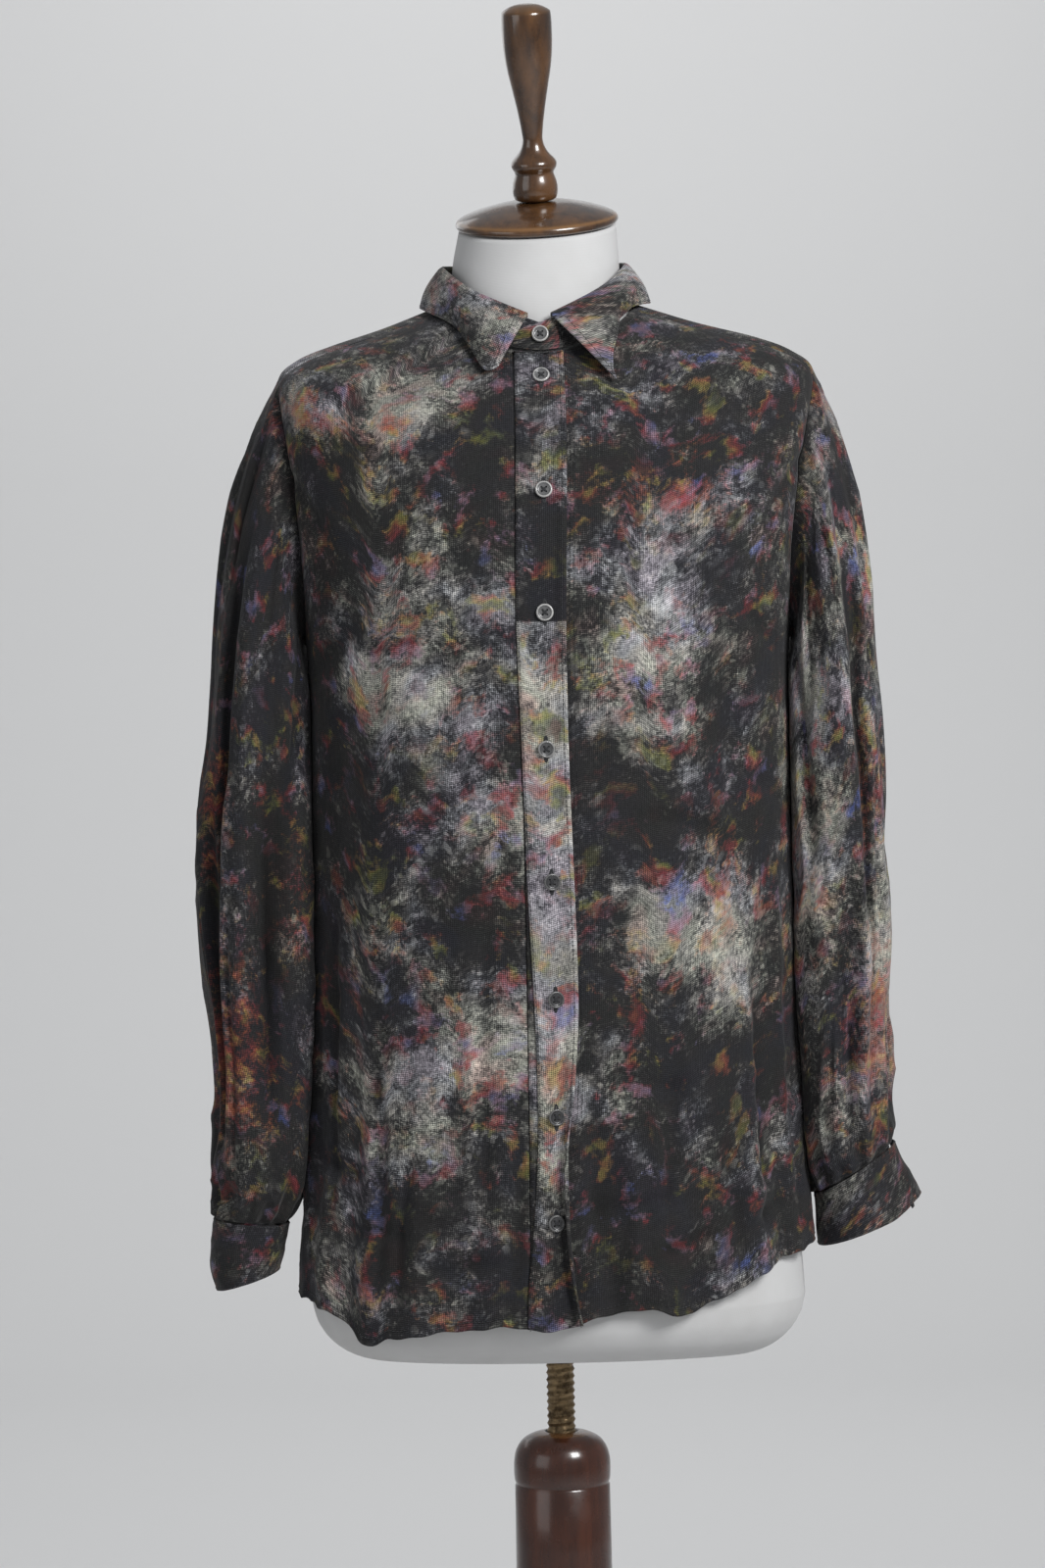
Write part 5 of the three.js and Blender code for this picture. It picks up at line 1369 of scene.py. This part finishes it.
def metal_look(colours):
    look = Look("aged_metal", Metallic=0.85)
    place = look.coordinates("Object")
    spots = look.noise(place, 160, 5, 0.65).between(0.4, 0.7)
    colour = spots.mix(colours.metal, colours.metal_aged)
    rough = spots * 0.3 + 0.32
    scratches = look.noise(look.stretched(place, (0.0014, 0.0014, 0.0083)), 1, 3)
    return look.finish(Base_Color=colour, Roughness=rough, Normal=look.bump(scratches, 0.2, 0.0003))


# Properties

def colour_property(name, description, value):
    return bpy.props.FloatVectorProperty(
        name=name, description=description, subtype="COLOR", size=3, min=0, max=1, default=value)


def length_property(name, description, value, low, high):
    return bpy.props.FloatProperty(
        name=name, description=description, unit="LENGTH", precision=5, default=value, min=low, max=high)


class ShirtSizes(bpy.types.PropertyGroup):
    cloth_thickness: length_property("Cloth thickness", "Thickness of the gauze", 0.0009, 0.0004, 0.0013)
    stitch_length: length_property("Stitch length", "Length of one stitch", 0.0021, 0.001, 0.005)
    stitch_pitch: length_property("Stitch pitch", "From one stitch to the next", 0.0029, 0.0015, 0.008)
    stitch_radius: length_property("Thread radius", "Half the thread's thickness", 0.00022, 0.0001, 0.0006)


class ShirtColours(bpy.types.PropertyGroup):
    ground: colour_property("Ground", "Darkest colour of the cloth", (0.015, 0.0165, 0.0205))
    ground_brown: colour_property("Brown ground", "Ground where the dye turned brown", (0.022, 0.020, 0.020))
    wash_grey: colour_property("Grey wash", "Darker threads of a flat wash", (0.10, 0.10, 0.102))
    wash_pale: colour_property("Pale wash", "Lighter threads of a flat wash", (0.44, 0.435, 0.42))
    thread: colour_property("Thread", "Sewing thread", (0.010, 0.010, 0.011))
    button_dark: colour_property("Button middle", "Darkest part of a button", (0.055, 0.055, 0.06))
    # Painted shade colour for a button that leans into its hole
    button_shade: colour_property("Shaded button", "A button that leans into its hole", (0.018, 0.018, 0.02))
    button_smoke: colour_property("Button smoke", "Smoky part of a button", (0.17, 0.17, 0.168))
    button_rim: colour_property("Button rim", "Silvery rim of a button", (0.66, 0.65, 0.63))
    jersey: colour_property("Jersey", "Off-white of the form", (0.60, 0.60, 0.60))
    jersey_worn: colour_property("Worn jersey", "Jersey where it is greyed", (0.47, 0.465, 0.455))
    cap_dark: colour_property("Cap wood, dark", "Dark grain of the cap", (0.024, 0.010, 0.004))
    cap_light: colour_property("Cap wood, light", "Light grain of the cap", (0.125, 0.055, 0.018))
    pole_dark: colour_property("Pole wood, dark", "Dark grain of the pole", (0.022, 0.007, 0.004))
    pole_light: colour_property("Pole wood, light", "Light grain of the pole", (0.075, 0.022, 0.010))
    # Paler wood for the marked edges; on the cap's rim it paints a highlight
    wood_edge: colour_property("Worn wood", "Wood where its stain is rubbed off", (0.30, 0.15, 0.05))
    metal: colour_property("Metal", "Clean metal of the rod", (0.26, 0.185, 0.10))
    metal_aged: colour_property("Aged metal", "Dull metal of the rod", (0.06, 0.04, 0.022))
    floor: colour_property("Floor", "Floor and backdrop", (0.68, 0.68, 0.68))


class PlainColours:
    """The colours of the property group as plain tuples."""

    def __init__(self, colours):
        self.colours = colours

    def __getattr__(self, name):
        return tuple(getattr(self.colours, name))


LOOK_MAKERS = {
    "cotton": dyed_cotton, "shell": shell_look, "thread": thread_look, "jersey": jersey_look,
    "cap": cap_look, "pole": pole_look, "metal": metal_look,
}
# Materials that have been built, by name
LOOKS = {}


def look_named(name):
    """A material of this object, built the first time it is asked for."""
    if name not in LOOKS:
        LOOKS[name] = LOOK_MAKERS[name](PlainColours(bpy.context.scene.shirt_colours))
    return LOOKS[name]


# Lines that are sewn: each is a row of points in metres
SEWN_LINES = []


def sew(points, outwards, lift=0.12):
    """Keeps a line to be sewn, a little off the cloth."""
    SEWN_LINES.append((points + unit(outwards) * lift) * MM)


class SHIRT_OT_panels(bpy.types.Operator):
    """Build the fronts, the back, the yoke and the button band"""

    bl_idname = "shirt.panels"
    bl_label = "Fronts, back and yoke"

    def execute(self, context):
        places = {
            "front_left": front_places(1, OPENING_X + SEAM),
            "front_right": front_places(-1, OPENING_X - SEAM),
            "back": back_places(),
            "yoke": yoke_places(),
        }
        for name, (angle, level, lift) in places.items():
            grid = cloth_point(angle, level, lift)
            # The wash is lowered in the crease hollows, as painted shade
            wash = with_painted_shade(dye(CLOUDS, angle, level, MM_PER_DEGREE), crease_height(angle, level))
            warm = dye(EMBERS, angle, level, MM_PER_DEGREE)
            middle = grid.shape[1] // 2 if name in ("back", "yoke") else 0
            cloth_piece(name, grid, away_from_axis(grid), wash, warm, origin=(0, middle))
            if name != "yoke":
                sew(grid[HEM_STITCH_ROW], body_normal(angle[HEM_STITCH_ROW], level[HEM_STITCH_ROW]))
                sew(grid[-2], body_normal(angle[-2], level[-2]))
        grid, angle, level = band_grid()
        wash = BAND_WASH.read("wash", BAND_WASH.place("level", level))
        warm = dye(EMBERS, angle, level, MM_PER_DEGREE)
        cloth_piece("button_band", grid, away_from_axis(grid), wash, warm)
        for column in (1, -3):
            sew(grid[:-1, column], body_normal(angle[:-1, column], level[:-1, column]))
        # Dark stitch rows beyond the free edge: the under layer's stitching, which also paints the shadow
        # strip there
        level = np.linspace(UNDER_ROWS_LEVEL, LEVEL_NECK - 6, 260)
        edge = BAND.read("right", BAND.place("level", level))
        for beside in UNDER_ROWS_AND_EDGE_SHADOW:
            angle = angle_of_x(edge + beside, level)
            sew(cloth_point(angle, level), body_normal(angle, level))
        return {"FINISHED"}


class SHIRT_OT_sleeves(bpy.types.Operator):
    """Build the gathered sleeves and their cuffs"""

    bl_idname = "shirt.sleeves"
    bl_label = "Sleeves and cuffs"

    def execute(self, context):
        parts = [
            ("left", 1, SLEEVE_LEFT, CREASES_LEFT, CUFF_LEFT, CLOSING_LEFT),
            ("right", -1, SLEEVE_RIGHT, CREASES_RIGHT, CUFF_RIGHT, CLOSING_RIGHT),
        ]
        for side, sign, rings, creases, cuff_rings, closing in parts:
            grid, around, place = sleeve_grid(rings, creases, sign)
            strength, under = SLEEVE_WASH[side]
            wash = dye(SLEEVE_CLOUDS, around, place) * strength + under
            fine = crease_sum(FINE_CREASES, around * sign, place, sharp=True)
            # The wash is lowered in the crease hollows, as painted shade
            wash = with_painted_shade(wash, crease_sum(creases, around, place) + fine)
            warm = dye(SLEEVE_EMBERS, around, place)
            facing = int(np.argmin(np.abs(around[0] - SLEEVE_FRONT)))
            cloth_piece(f"sleeve_{side}", grid, away_from_rows(grid), wash, warm, ring=True,
                        origin=(-1, facing))
            cuff = cuff_grid(cuff_rings, sign, closing)
            outwards = away_from_rows(cuff)
            cloth_piece(f"cuff_{side}", cuff, outwards, CUFF_WASH, 0)
            for row in (1, -2):
                sew(cuff[row], outwards[row])
            sew(cuff[1:-1, -3], outwards[1:-1, -3])
        return {"FINISHED"}


class SHIRT_OT_collar(bpy.types.Operator):
    """Build the collar and its stand"""

    bl_idname = "shirt.collar"
    bl_label = "Collar and stand"

    def execute(self, context):
        stand = stand_grid()
        cloth_piece("collar_stand", stand, flat_out(stand), STAND_WASH, 0)
        collar = collar_grid()
        outwards = flat_out(collar)
        leaf = np.zeros(collar.shape)
        leaf[COLLAR_FOLD_ROWS + 2:] = outwards[COLLAR_FOLD_ROWS + 2:]
        cloth_piece("collar", collar, leaf, COLLAR_WASH, COLLAR_WARM)
        sew(collar[-3], outwards[-3])
        hanging = slice(COLLAR_FOLD_ROWS + 4, -2)
        for column in (3, -4):
            sew(collar[hanging, column], outwards[hanging, column])
        sew(stand[1], flat_out(stand)[1])
        return {"FINISHED"}


# A button's section as radius and height, and its four holes
BUTTON_PROFILE = [
    (0, 0.35), (4.4, 0.2), (5.2, 0.5), (5.75, 1.2), (5.65, 1.9), (5.1, 2.35), (4.4, 2.25),
    (3.9, 1.75), (3.3, 1.5), (0, 1.45),
]
HOLE_RADIUS = 0.7
HOLE_REACH = 1.5 * math.sqrt(2)
DRILL_PROFILE = [(HOLE_RADIUS, -1), (HOLE_RADIUS, 4)]
# A button that leans this far, in degrees, gets all its painted shade
FULL_SHADE_TILT = 16
# Threads across a button: half width, half height, and their height in the middle and its fall
CROSS_WIDTH, CROSS_HEIGHT, CROSS_RISE, CROSS_FALL = 0.72, 0.3, 1.83, 0.28
# A buttonhole: half length, half width, and the half width and height of its worked edge
BUTTONHOLE_LENGTH, BUTTONHOLE_WIDTH, WORKED_WIDTH, WORKED_HEIGHT = 8.3, 1.15, 0.75, 0.3


def button_mesh():
    """One button lying in the XY plane: a turned disc with a raised rim and four holes."""
    disc = solid_mesh("button_disc", turned_grid(corner_cut(BUTTON_PROFILE)[1:-1], 56))
    button = bpy.data.objects.new("button_disc", disc)
    bpy.context.scene.collection.objects.link(button)
    drills = []
    for quarter in range(4):
        turn = math.radians(45 + 90 * quarter)
        mesh = solid_mesh("drill", turned_grid(np.array(DRILL_PROFILE, float), 14))
        offset = Vector((math.cos(turn), math.sin(turn), 0)) * (HOLE_REACH * MM)
        mesh.transform(Matrix.Translation(offset))
        cutter = bpy.data.objects.new("drill", mesh)
        bpy.context.scene.collection.objects.link(cutter)
        cut = button.modifiers.new("hole", "BOOLEAN")
        cut.object = cutter
        cut.operation = "DIFFERENCE"
        cut.solver = "EXACT"
        drills.append(cutter)
    evaluated = button.evaluated_get(bpy.context.evaluated_depsgraph_get())
    finished = bpy.data.meshes.new_from_object(evaluated)
    for made in [button, *drills]:
        bpy.data.objects.remove(made)
    points = np.array([finished.vertices[loop.vertex_index].co[:2] for loop in finished.loops])
    flat = (points / (BUTTON_RADIUS * MM)).astype(np.float32)
    layer = finished.uv_layers.new(name="UVMap")
    layer.data.foreach_set("uv", flat.ravel())
    return finished


def seat_matrix(point, normal, tilt=0.0):
    """Where a button sits: its face along the normal, leaning sideways by tilt degrees."""
    turn = Vector((0, 0, 1)).rotation_difference(Vector(normal)).to_matrix().to_4x4()
    lean = Matrix.Rotation(math.radians(tilt), 4, "Y")
    return Matrix.Translation(Vector(point) * MM) @ turn @ lean


def front_seat(z, x, lift):
    """Point and direction of the front at a height and a distance from the centre line."""
    level = BODY.read("level", BODY.place("zFront", z))
    angle = angle_of_x(x, level)
    return cloth_point(angle, level, lift), body_normal(angle, level)


def stand_seat():
    """Point and direction of the stand's button."""
    seam, fold = stand_point(np.array(0.0), 0.0), stand_point(np.array(0.0), 1.0)
    share = (STAND_BUTTON_Z - seam[2]) / (fold[2] - seam[2])
    point = stand_point(np.array(0.0), share) - np.array([0, LAYER, 0])
    return point, unit(np.array([0, seam[2] - fold[2], fold[1] - seam[1]]))


def cuff_seat(rings, sign, closing):
    """Point and direction of a cuff's button."""
    middle = (len(rings.rows) - 1) / 2
    lift = WALL + closing["gap"] if closing["upper"] else 0
    at = lambda place, around: tube_point(rings, np.array(place), np.array(around, float), sign, lift)
    turn = closing["button"]
    along = at(middle + 0.3, turn) - at(middle - 0.3, turn)
    across = at(middle, turn + 3) - at(middle, turn - 3)
    normal = unit(np.cross(across, along))
    outwards = at(middle, turn) - at(middle, turn + 180)
    return at(middle, turn), normal * np.sign(normal @ outwards)


class SHIRT_OT_buttons(bpy.types.Operator):
    """Build the buttons, the threads through them and the buttonholes"""

    bl_idname = "shirt.buttons"
    bl_label = "Buttons and buttonholes"

    def execute(self, context):
        disc = button_mesh()
        seats = [("button_1", *stand_seat(), 0)]
        for k, (z, x, tilt) in enumerate(FRONT_BUTTONS):
            seats.append((f"button_{k + 2}", *front_seat(z, x, LAYER), tilt))
        seats.append(("cuff_button_left", *cuff_seat(CUFF_LEFT, 1, CLOSING_LEFT), 0))
        seats.append(("cuff_button_right", *cuff_seat(CUFF_RIGHT, -1, CLOSING_RIGHT), 0))
        crossings = []
        for name, point, normal, tilt in seats:
            place = seat_matrix(point + normal * SEAM, normal, tilt)
            mesh = disc.copy()
            mesh.transform(place)
            # How much painted shade the button gets from its lean
            set_attribute(mesh, "smoked", min(1, tilt / FULL_SHADE_TILT))
            new_piece(name + "_disc", mesh, look_named("shell"), "form", "button_shell", name)
            crossings.append(place)
        self.threads(crossings)
        self.buttonholes()
        return {"FINISHED"}

    def threads(self, places):
        """Two crossing threads in each button, between its holes."""
        along = np.linspace(-1, 1, 9)
        height = CROSS_RISE - CROSS_FALL * along ** 4 - 0.9 * (np.abs(along) > 0.99)
        grids = []
        for place in places:
            for turn in (45, 135):
                c, s = cosine(turn), sine(turn)
                line = np.stack([along * HOLE_REACH * c, along * HOLE_REACH * s, height], -1)
                rings = tube_round(line, np.array([-s, c, 0]), np.array([0, 0, 1]), CROSS_WIDTH, CROSS_HEIGHT)
                grids.append((place, rings))
        join_solids("button_threads", grids, look_named("thread"))

    def buttonholes(self):
        """Worked edges of the buttonholes, which show above and below the buttons."""
        turn = np.linspace(0, 360, 48, endpoint=False)
        up, beside = BUTTONHOLE_LENGTH * sine(turn), BUTTONHOLE_WIDTH * cosine(turn)
        edges = []
        for z, x, _ in FRONT_BUTTONS:
            line, out = front_seat(z + up, x + beside, LAYER + 0.1)
            tangent = unit(np.roll(line, -1, 0) - np.roll(line, 1, 0))
            side = unit(np.cross(tangent, out))
            edges.append(tube_round(line, side[:, None], out[:, None], WORKED_WIDTH, WORKED_HEIGHT))
        rows, columns = edges[0].shape[:2]
        faces = side_faces(rows, columns, looped=True)
        faces = np.concatenate([faces + k * rows * columns for k in range(len(edges))])
        mesh = closed_mesh("buttonholes", np.array(edges).reshape(-1, 3), faces)
        new_piece("buttonholes", mesh, look_named("thread"), "form", "dyed_cotton")


def tube_round(line, side, up, wide, high, columns=8):
    """Rings of points round a line."""
    section = np.linspace(0, 2 * np.pi, columns, endpoint=False)[None, :, None]
    return line[:, None] + side * wide * np.cos(section) + up * high * np.sin(section)


def join_solids(name, grids, look):
    """One piece from many closed tubes, each with its own place."""
    points, faces = [], []
    for place, grid in grids:
        mesh = solid_mesh("part", grid)
        mesh.transform(place)
        start = len(points)
        points.extend(tuple(v.co) for v in mesh.vertices)
        faces.extend([start + k for k in face.vertices] for face in mesh.polygons)
        bpy.data.meshes.remove(mesh)
    joined = bpy.data.meshes.new(name)
    joined.from_pydata(points, [], faces)
    joined.update()
    return new_piece(name, joined, look, "form", "dyed_cotton")


def stitch_tree(look):
    """Stitches along curves: named inputs for their pitch, length and thickness."""
    tree = bpy.data.node_groups.new("stitches", "GeometryNodeTree")
    face = tree.interface
    face.new_socket("Lines", in_out="INPUT", socket_type="NodeSocketGeometry")
    for name in ("Pitch", "Length", "Radius"):
        face.new_socket(name, in_out="INPUT", socket_type="NodeSocketFloat")
    face.new_socket("Stitches", in_out="OUTPUT", socket_type="NodeSocketGeometry")
    given = tree.nodes.new("NodeGroupInput")
    result = tree.nodes.new("NodeGroupOutput")
    points = tree.nodes.new("GeometryNodeCurveToPoints")
    points.mode = "LENGTH"
    thread = tree.nodes.new("GeometryNodeMeshCylinder")
    thread.inputs["Vertices"].default_value = 5
    place = tree.nodes.new("GeometryNodeInstanceOnPoints")
    realize = tree.nodes.new("GeometryNodeRealizeInstances")
    paint = tree.nodes.new("GeometryNodeSetMaterial")
    paint.inputs["Material"].default_value = look
    links = [
        (given.outputs["Lines"], points.inputs[0]),
        (given.outputs["Pitch"], points.inputs["Length"]),
        (given.outputs["Radius"], thread.inputs["Radius"]),
        (given.outputs["Length"], thread.inputs["Depth"]),
        (points.outputs["Points"], place.inputs["Points"]),
        (points.outputs["Rotation"], place.inputs["Rotation"]),
        (thread.outputs["Mesh"], place.inputs["Instance"]),
        (place.outputs["Instances"], realize.inputs[0]),
        (realize.outputs[0], paint.inputs["Geometry"]),
        (paint.outputs[0], result.inputs[0]),
    ]
    for start, end in links:
        tree.links.new(start, end)
    return tree


class SHIRT_OT_stitches(bpy.types.Operator):
    """Sew rows of stitches along the seams and edges"""

    bl_idname = "shirt.stitches"
    bl_label = "Stitches"

    def execute(self, context):
        sizes = context.scene.shirt_sizes
        curve = bpy.data.curves.new("sewn_lines", "CURVE")
        curve.dimensions = "3D"
        for line in SEWN_LINES:
            spline = curve.splines.new("POLY")
            spline.points.add(len(line) - 1)
            spline.points.foreach_set("co", np.c_[line, np.ones(len(line))].astype(np.float32).ravel())
        lines = bpy.data.objects.new("sewn_lines", curve)
        context.scene.collection.objects.link(lines)
        thread = look_named("thread")
        tree = stitch_tree(thread)
        sewing = lines.modifiers.new("stitches", "NODES")
        sewing.node_group = tree
        values = {"Pitch": sizes.stitch_pitch, "Length": sizes.stitch_length, "Radius": sizes.stitch_radius}
        for item in tree.interface.items_tree:
            if item.name in values:
                sewing[item.identifier] = values[item.name]
        evaluated = lines.evaluated_get(context.evaluated_depsgraph_get())
        mesh = bpy.data.meshes.new_from_object(evaluated)
        bpy.data.objects.remove(lines)
        new_piece("stitches", mesh, thread, "form", "dyed_cotton")
        return {"FINISHED"}


def torso_rings(columns=144):
    """Rings of the form: its rounded underside, its body inside the shirt, and its neck."""
    angles = np.arange(columns) * 360 / columns

    def ring(level, side, front, back):
        end = np.where(cosine(angles) >= 0, front, back)
        inset = lerp(end, side, np.abs(sine(angles)) ** 4)
        return body_base(angles, level) - body_normal(angles, level) * inset[:, None]

    first, *insets = FORM_INSET.rows[0]
    rings = []
    for turn in FORM_TURNS:
        inset = FORM_ROUND * (1 - sine(turn))
        rings.append(ring(lerp(first, FORM_BOTTOM + 3, cosine(turn)), *[each + inset for each in insets]))
    under = []
    for share in FORM_SHARES:
        inner = rings[0] * np.array([share, share, 1])
        inner[:, 2] = lerp(FORM_BOTTOM, rings[0][:, 2].mean(), smooth(share) ** 1.5)
        under.append(inner)
    rings = under + rings
    for row in FORM_INSET.rows:
        rings.append(ring(*row))
    for z, left, right, front, back, slope, roll in NECK.rows:
        x, y = oval(angles, left, right, front, back)
        rings.append(np.stack([x, y, z + y * slope + x * roll], -1))
    return np.array(rings)


class SHIRT_OT_form(bpy.types.Operator):
    """Build the jersey-covered torso of the form"""

    bl_idname = "shirt.form"
    bl_label = "Dress form"

    def execute(self, context):
        rings = torso_rings()
        grid = along_curve(rings, np.linspace(0, len(rings) - 1, (len(rings) - 1) * FORM_STEPS + 1))
        angle = np.degrees(np.arctan2(grid[..., 0], -grid[..., 1]))
        z = grid[..., 2]
        tucks = sum(TUCK_HEIGHT * np.exp(-((angle - centre) / TUCK_WIDTH) ** 2) for centre in TUCK_ANGLES)
        low = np.exp(-((z - TUCK_LEVEL) / TUCK_REACH) ** 2)
        seam = SEAM_DEPTH * np.exp(-((angle - SEAM_TURN) / SEAM_WIDTH) ** 2)
        seam = seam * (z < SEAM_HIGH) * (z > SEAM_LOW)
        mesh = solid_mesh("torso_jersey", grid + flat_out(grid) * (tucks * low - seam)[..., None])
        new_piece("torso_jersey", mesh, look_named("jersey"), "form", "form_jersey", "form_torso")
        return {"FINISHED"}


def add_pale_edges(piece, paleness):
    """Stores how much paler and rougher the wood is, from a function of each point's place on its own axis.
    """
    points = np.array([v.co for v in piece.data.vertices])
    set_attribute(piece.data, "worn", paleness(points / MM))


class SHIRT_OT_turned_wood(bpy.types.Operator):
    """Build the wooden cap, finial, pole and base"""

    bl_idname = "shirt.turned_wood"
    bl_label = "Turned wood"

    def execute(self, context):
        tilt = Matrix.Rotation(math.radians(CAP_TILT), 4, "X")
        roll = Matrix.Rotation(math.radians(-CAP_ROLL), 4, "Y")
        head = Matrix.Translation(Vector(CAP_CENTRE)) @ tilt @ roll
        up = np.array(head.to_3x3() @ Vector((0, 0, 1)))
        centre = np.array(CAP_CENTRE)

        def on_axis(points):
            height = (points - centre) @ up
            return height, np.linalg.norm(points - centre - height[:, None] * up, axis=1)

        def cap_highlight(points):
            height, radius = on_axis(points)
            # Painted highlight: a paler band along the rounded top of the cap's rim
            return 0.55 * np.exp(-((height - 6.2) / 1.0) ** 2) * (radius > 52)

        def finial_pale_top(points):
            height, radius = on_axis(points)
            return 0.4 * np.clip((height - CAP_HEIGHT - 127) / 8, 0, 1) * (radius < 17)

        cap = look_named("cap")
        piece = turned_piece("cap_turned", CAP_PROFILE, 112, head, cap, "form", "cap_wood", "neck_cap")
        add_pale_edges(piece, cap_highlight)
        place = head @ Matrix.Translation((0, 0, CAP_HEIGHT))
        piece = turned_piece("finial_turned", FINIAL_PROFILE, 72, place, cap, "form", "cap_wood", "finial")
        add_pale_edges(piece, finial_pale_top)
        pole = look_named("pole")
        still = Matrix.Identity(4)
        piece = turned_piece("pole_turned", POLE_PROFILE, 96, still, pole, "stand", "pole_wood", "pole")
        add_pale_edges(piece, lambda points: 0.25 * (np.abs(points[:, 2] - POLE_TOP + 1) < 1.2))
        piece = turned_piece("base_turned", BASE_PROFILE, 144, still, pole, "stand", "pole_wood", "base")
        add_pale_edges(piece, lambda points: 0.2 * np.exp(-((points[:, 2] - BASE_HEIGHT + 4) / 3) ** 2))
        return {"FINISHED"}


class SHIRT_OT_rod(bpy.types.Operator):
    """Build the threaded rod and the collar at its top"""

    bl_idname = "shirt.rod"
    bl_label = "Rod"

    def execute(self, context):
        metal = look_named("metal")
        hidden = np.linspace(ROD_FOOT, POLE_TOP - 2, 6)[:-1]
        z = np.concatenate([hidden, np.arange(POLE_TOP - 2, ROD_TOP, 0.5), [ROD_TOP]])
        turn = np.linspace(0, 2 * np.pi, 40, endpoint=False)[None, :]
        phase = (z[:, None] / THREAD_PITCH - turn / (2 * np.pi)) % 1
        threaded = smooth((z[:, None] - POLE_TOP) / 2) * (z[:, None] < ROD_TOP)
        radius = ROD_RADIUS - THREAD_DEPTH * threaded * (1 - np.abs(2 * phase - 1)) ** 0.8
        height = np.broadcast_to(z[:, None], radius.shape)
        grid = np.stack([radius * np.cos(turn), radius * np.sin(turn), height], -1)
        new_piece("rod_thread", solid_mesh("rod_thread", grid), metal, "form", "aged_metal", "rod")
        still = Matrix.Identity(4)
        turned_piece("ferrule_turned", FERRULE_PROFILE, 64, still, metal, "form", "aged_metal", "ferrule")
        return {"FINISHED"}


# The floor and backdrop, in metres: half the width, how far back and high, and the bend between
FLOOR_HALF = 7.0
BACKDROP_Y = 7.0
BACKDROP_TOP = 6.0
SWEEP_RADIUS = 2.0
# Lights: where each is, what it points at, its side in metres and its power in watts
LIGHTS = {
    "key": ((1.7, -2.3, 2.8), (0, 0, 1.25), 1.1, 96),
    "fill": ((-2.6, -2.2, 1.7), (0, 0, 1.2), 2.0, 14),
    "rim": ((-1.4, 1.8, 2.6), (0, 0, 1.4), 1.6, 7),
    "backdrop_light": ((0, 3.0, 4.6), (0, BACKDROP_Y, 1.6), 3.0, 130),
}
SKY_COLOUR = (0.93, 0.96, 1, 1)
SKY_STRENGTH = 0.28


class SHIRT_OT_stage(bpy.types.Operator):
    """Set the camera, the lights and a pale floor with a backdrop"""

    bl_idname = "shirt.stage"
    bl_label = "Stage"

    def execute(self, context):
        scene = context.scene
        camera = bpy.data.cameras.new("camera")
        camera.sensor_fit = "VERTICAL"
        camera.sensor_height = SENSOR_HEIGHT
        camera.lens = SENSOR_HEIGHT * CAMERA_DISTANCE / VIEW_HEIGHT
        holder = bpy.data.objects.new("camera", camera)
        holder.location = (CAMERA_X, -CAMERA_DISTANCE, CAMERA_Z)
        holder.rotation_euler = (math.radians(90), math.radians(CAMERA_ROLL), 0)
        scene.collection.objects.link(holder)
        scene.camera = holder
        self.backdrop(scene)
        for name, settings in LIGHTS.items():
            self.light(scene, name, *settings)
        world = bpy.data.worlds.new("studio")
        world.use_nodes = True
        sky = world.node_tree.nodes["Background"]
        sky.inputs["Color"].default_value = SKY_COLOUR
        sky.inputs["Strength"].default_value = SKY_STRENGTH
        scene.world = world
        scene.view_settings.view_transform = "Standard"
        return {"FINISHED"}

    def light(self, scene, name, place, aim, size, power):
        lamp = bpy.data.lights.new(name, "AREA")
        lamp.shape = "SQUARE"
        lamp.size = size
        lamp.energy = power
        holder = bpy.data.objects.new(name, lamp)
        holder.location = place
        holder.rotation_euler = (Vector(aim) - Vector(place)).to_track_quat("-Z", "Y").to_euler()
        scene.collection.objects.link(holder)

    def backdrop(self, scene):
        bend = np.linspace(0, np.pi / 2, 16)
        y = BACKDROP_Y - SWEEP_RADIUS + SWEEP_RADIUS * np.sin(bend)
        z = SWEEP_RADIUS * (1 - np.cos(bend))
        line = [(-FLOOR_HALF, 0), *zip(y, z), (BACKDROP_Y, BACKDROP_TOP)]
        points = [(x, y, z) for y, z in line for x in (-FLOOR_HALF, FLOOR_HALF)]
        faces = [(2 * k, 2 * k + 1, 2 * k + 3, 2 * k + 2) for k in range(len(line) - 1)]
        mesh = bpy.data.meshes.new("backdrop")
        mesh.from_pydata(points, [], faces)
        mesh.polygons.foreach_set("use_smooth", np.ones(len(mesh.polygons), bool))
        look = Look("backdrop", Roughness=0.9)
        look.set_input(look.shader.inputs["Base Color"], tuple(scene.shirt_colours.floor))
        mesh.materials.append(look.material)
        piece = bpy.data.objects.new("backdrop", mesh)
        scene.collection.objects.link(piece)


class SHIRT_PT_panel(bpy.types.Panel):
    """Lists the steps that build the shirt and its form"""

    bl_label = "Shirt"
    bl_idname = "SHIRT_PT_panel"
    bl_space_type = "VIEW_3D"
    bl_region_type = "UI"
    bl_category = "Shirt"

    def draw(self, context):
        for step in STEPS:
            self.layout.operator(step.bl_idname)


STEPS = [
    SHIRT_OT_stage, SHIRT_OT_panels, SHIRT_OT_sleeves, SHIRT_OT_collar, SHIRT_OT_buttons,
    SHIRT_OT_stitches, SHIRT_OT_form, SHIRT_OT_turned_wood, SHIRT_OT_rod,
]
CLASSES = [ShirtSizes, ShirtColours, *STEPS, SHIRT_PT_panel]


def register():
    for each in CLASSES:
        bpy.utils.register_class(each)
    bpy.types.Scene.shirt_sizes = bpy.props.PointerProperty(type=ShirtSizes)
    bpy.types.Scene.shirt_colours = bpy.props.PointerProperty(type=ShirtColours)


def unregister():
    del bpy.types.Scene.shirt_colours
    del bpy.types.Scene.shirt_sizes
    for each in reversed(CLASSES):
        bpy.utils.unregister_class(each)


def main():
    register()
    for step in STEPS:
        group, name = step.bl_idname.split(".")
        getattr(getattr(bpy.ops, group), name)()
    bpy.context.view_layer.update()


if __name__ == "__main__":
    main()
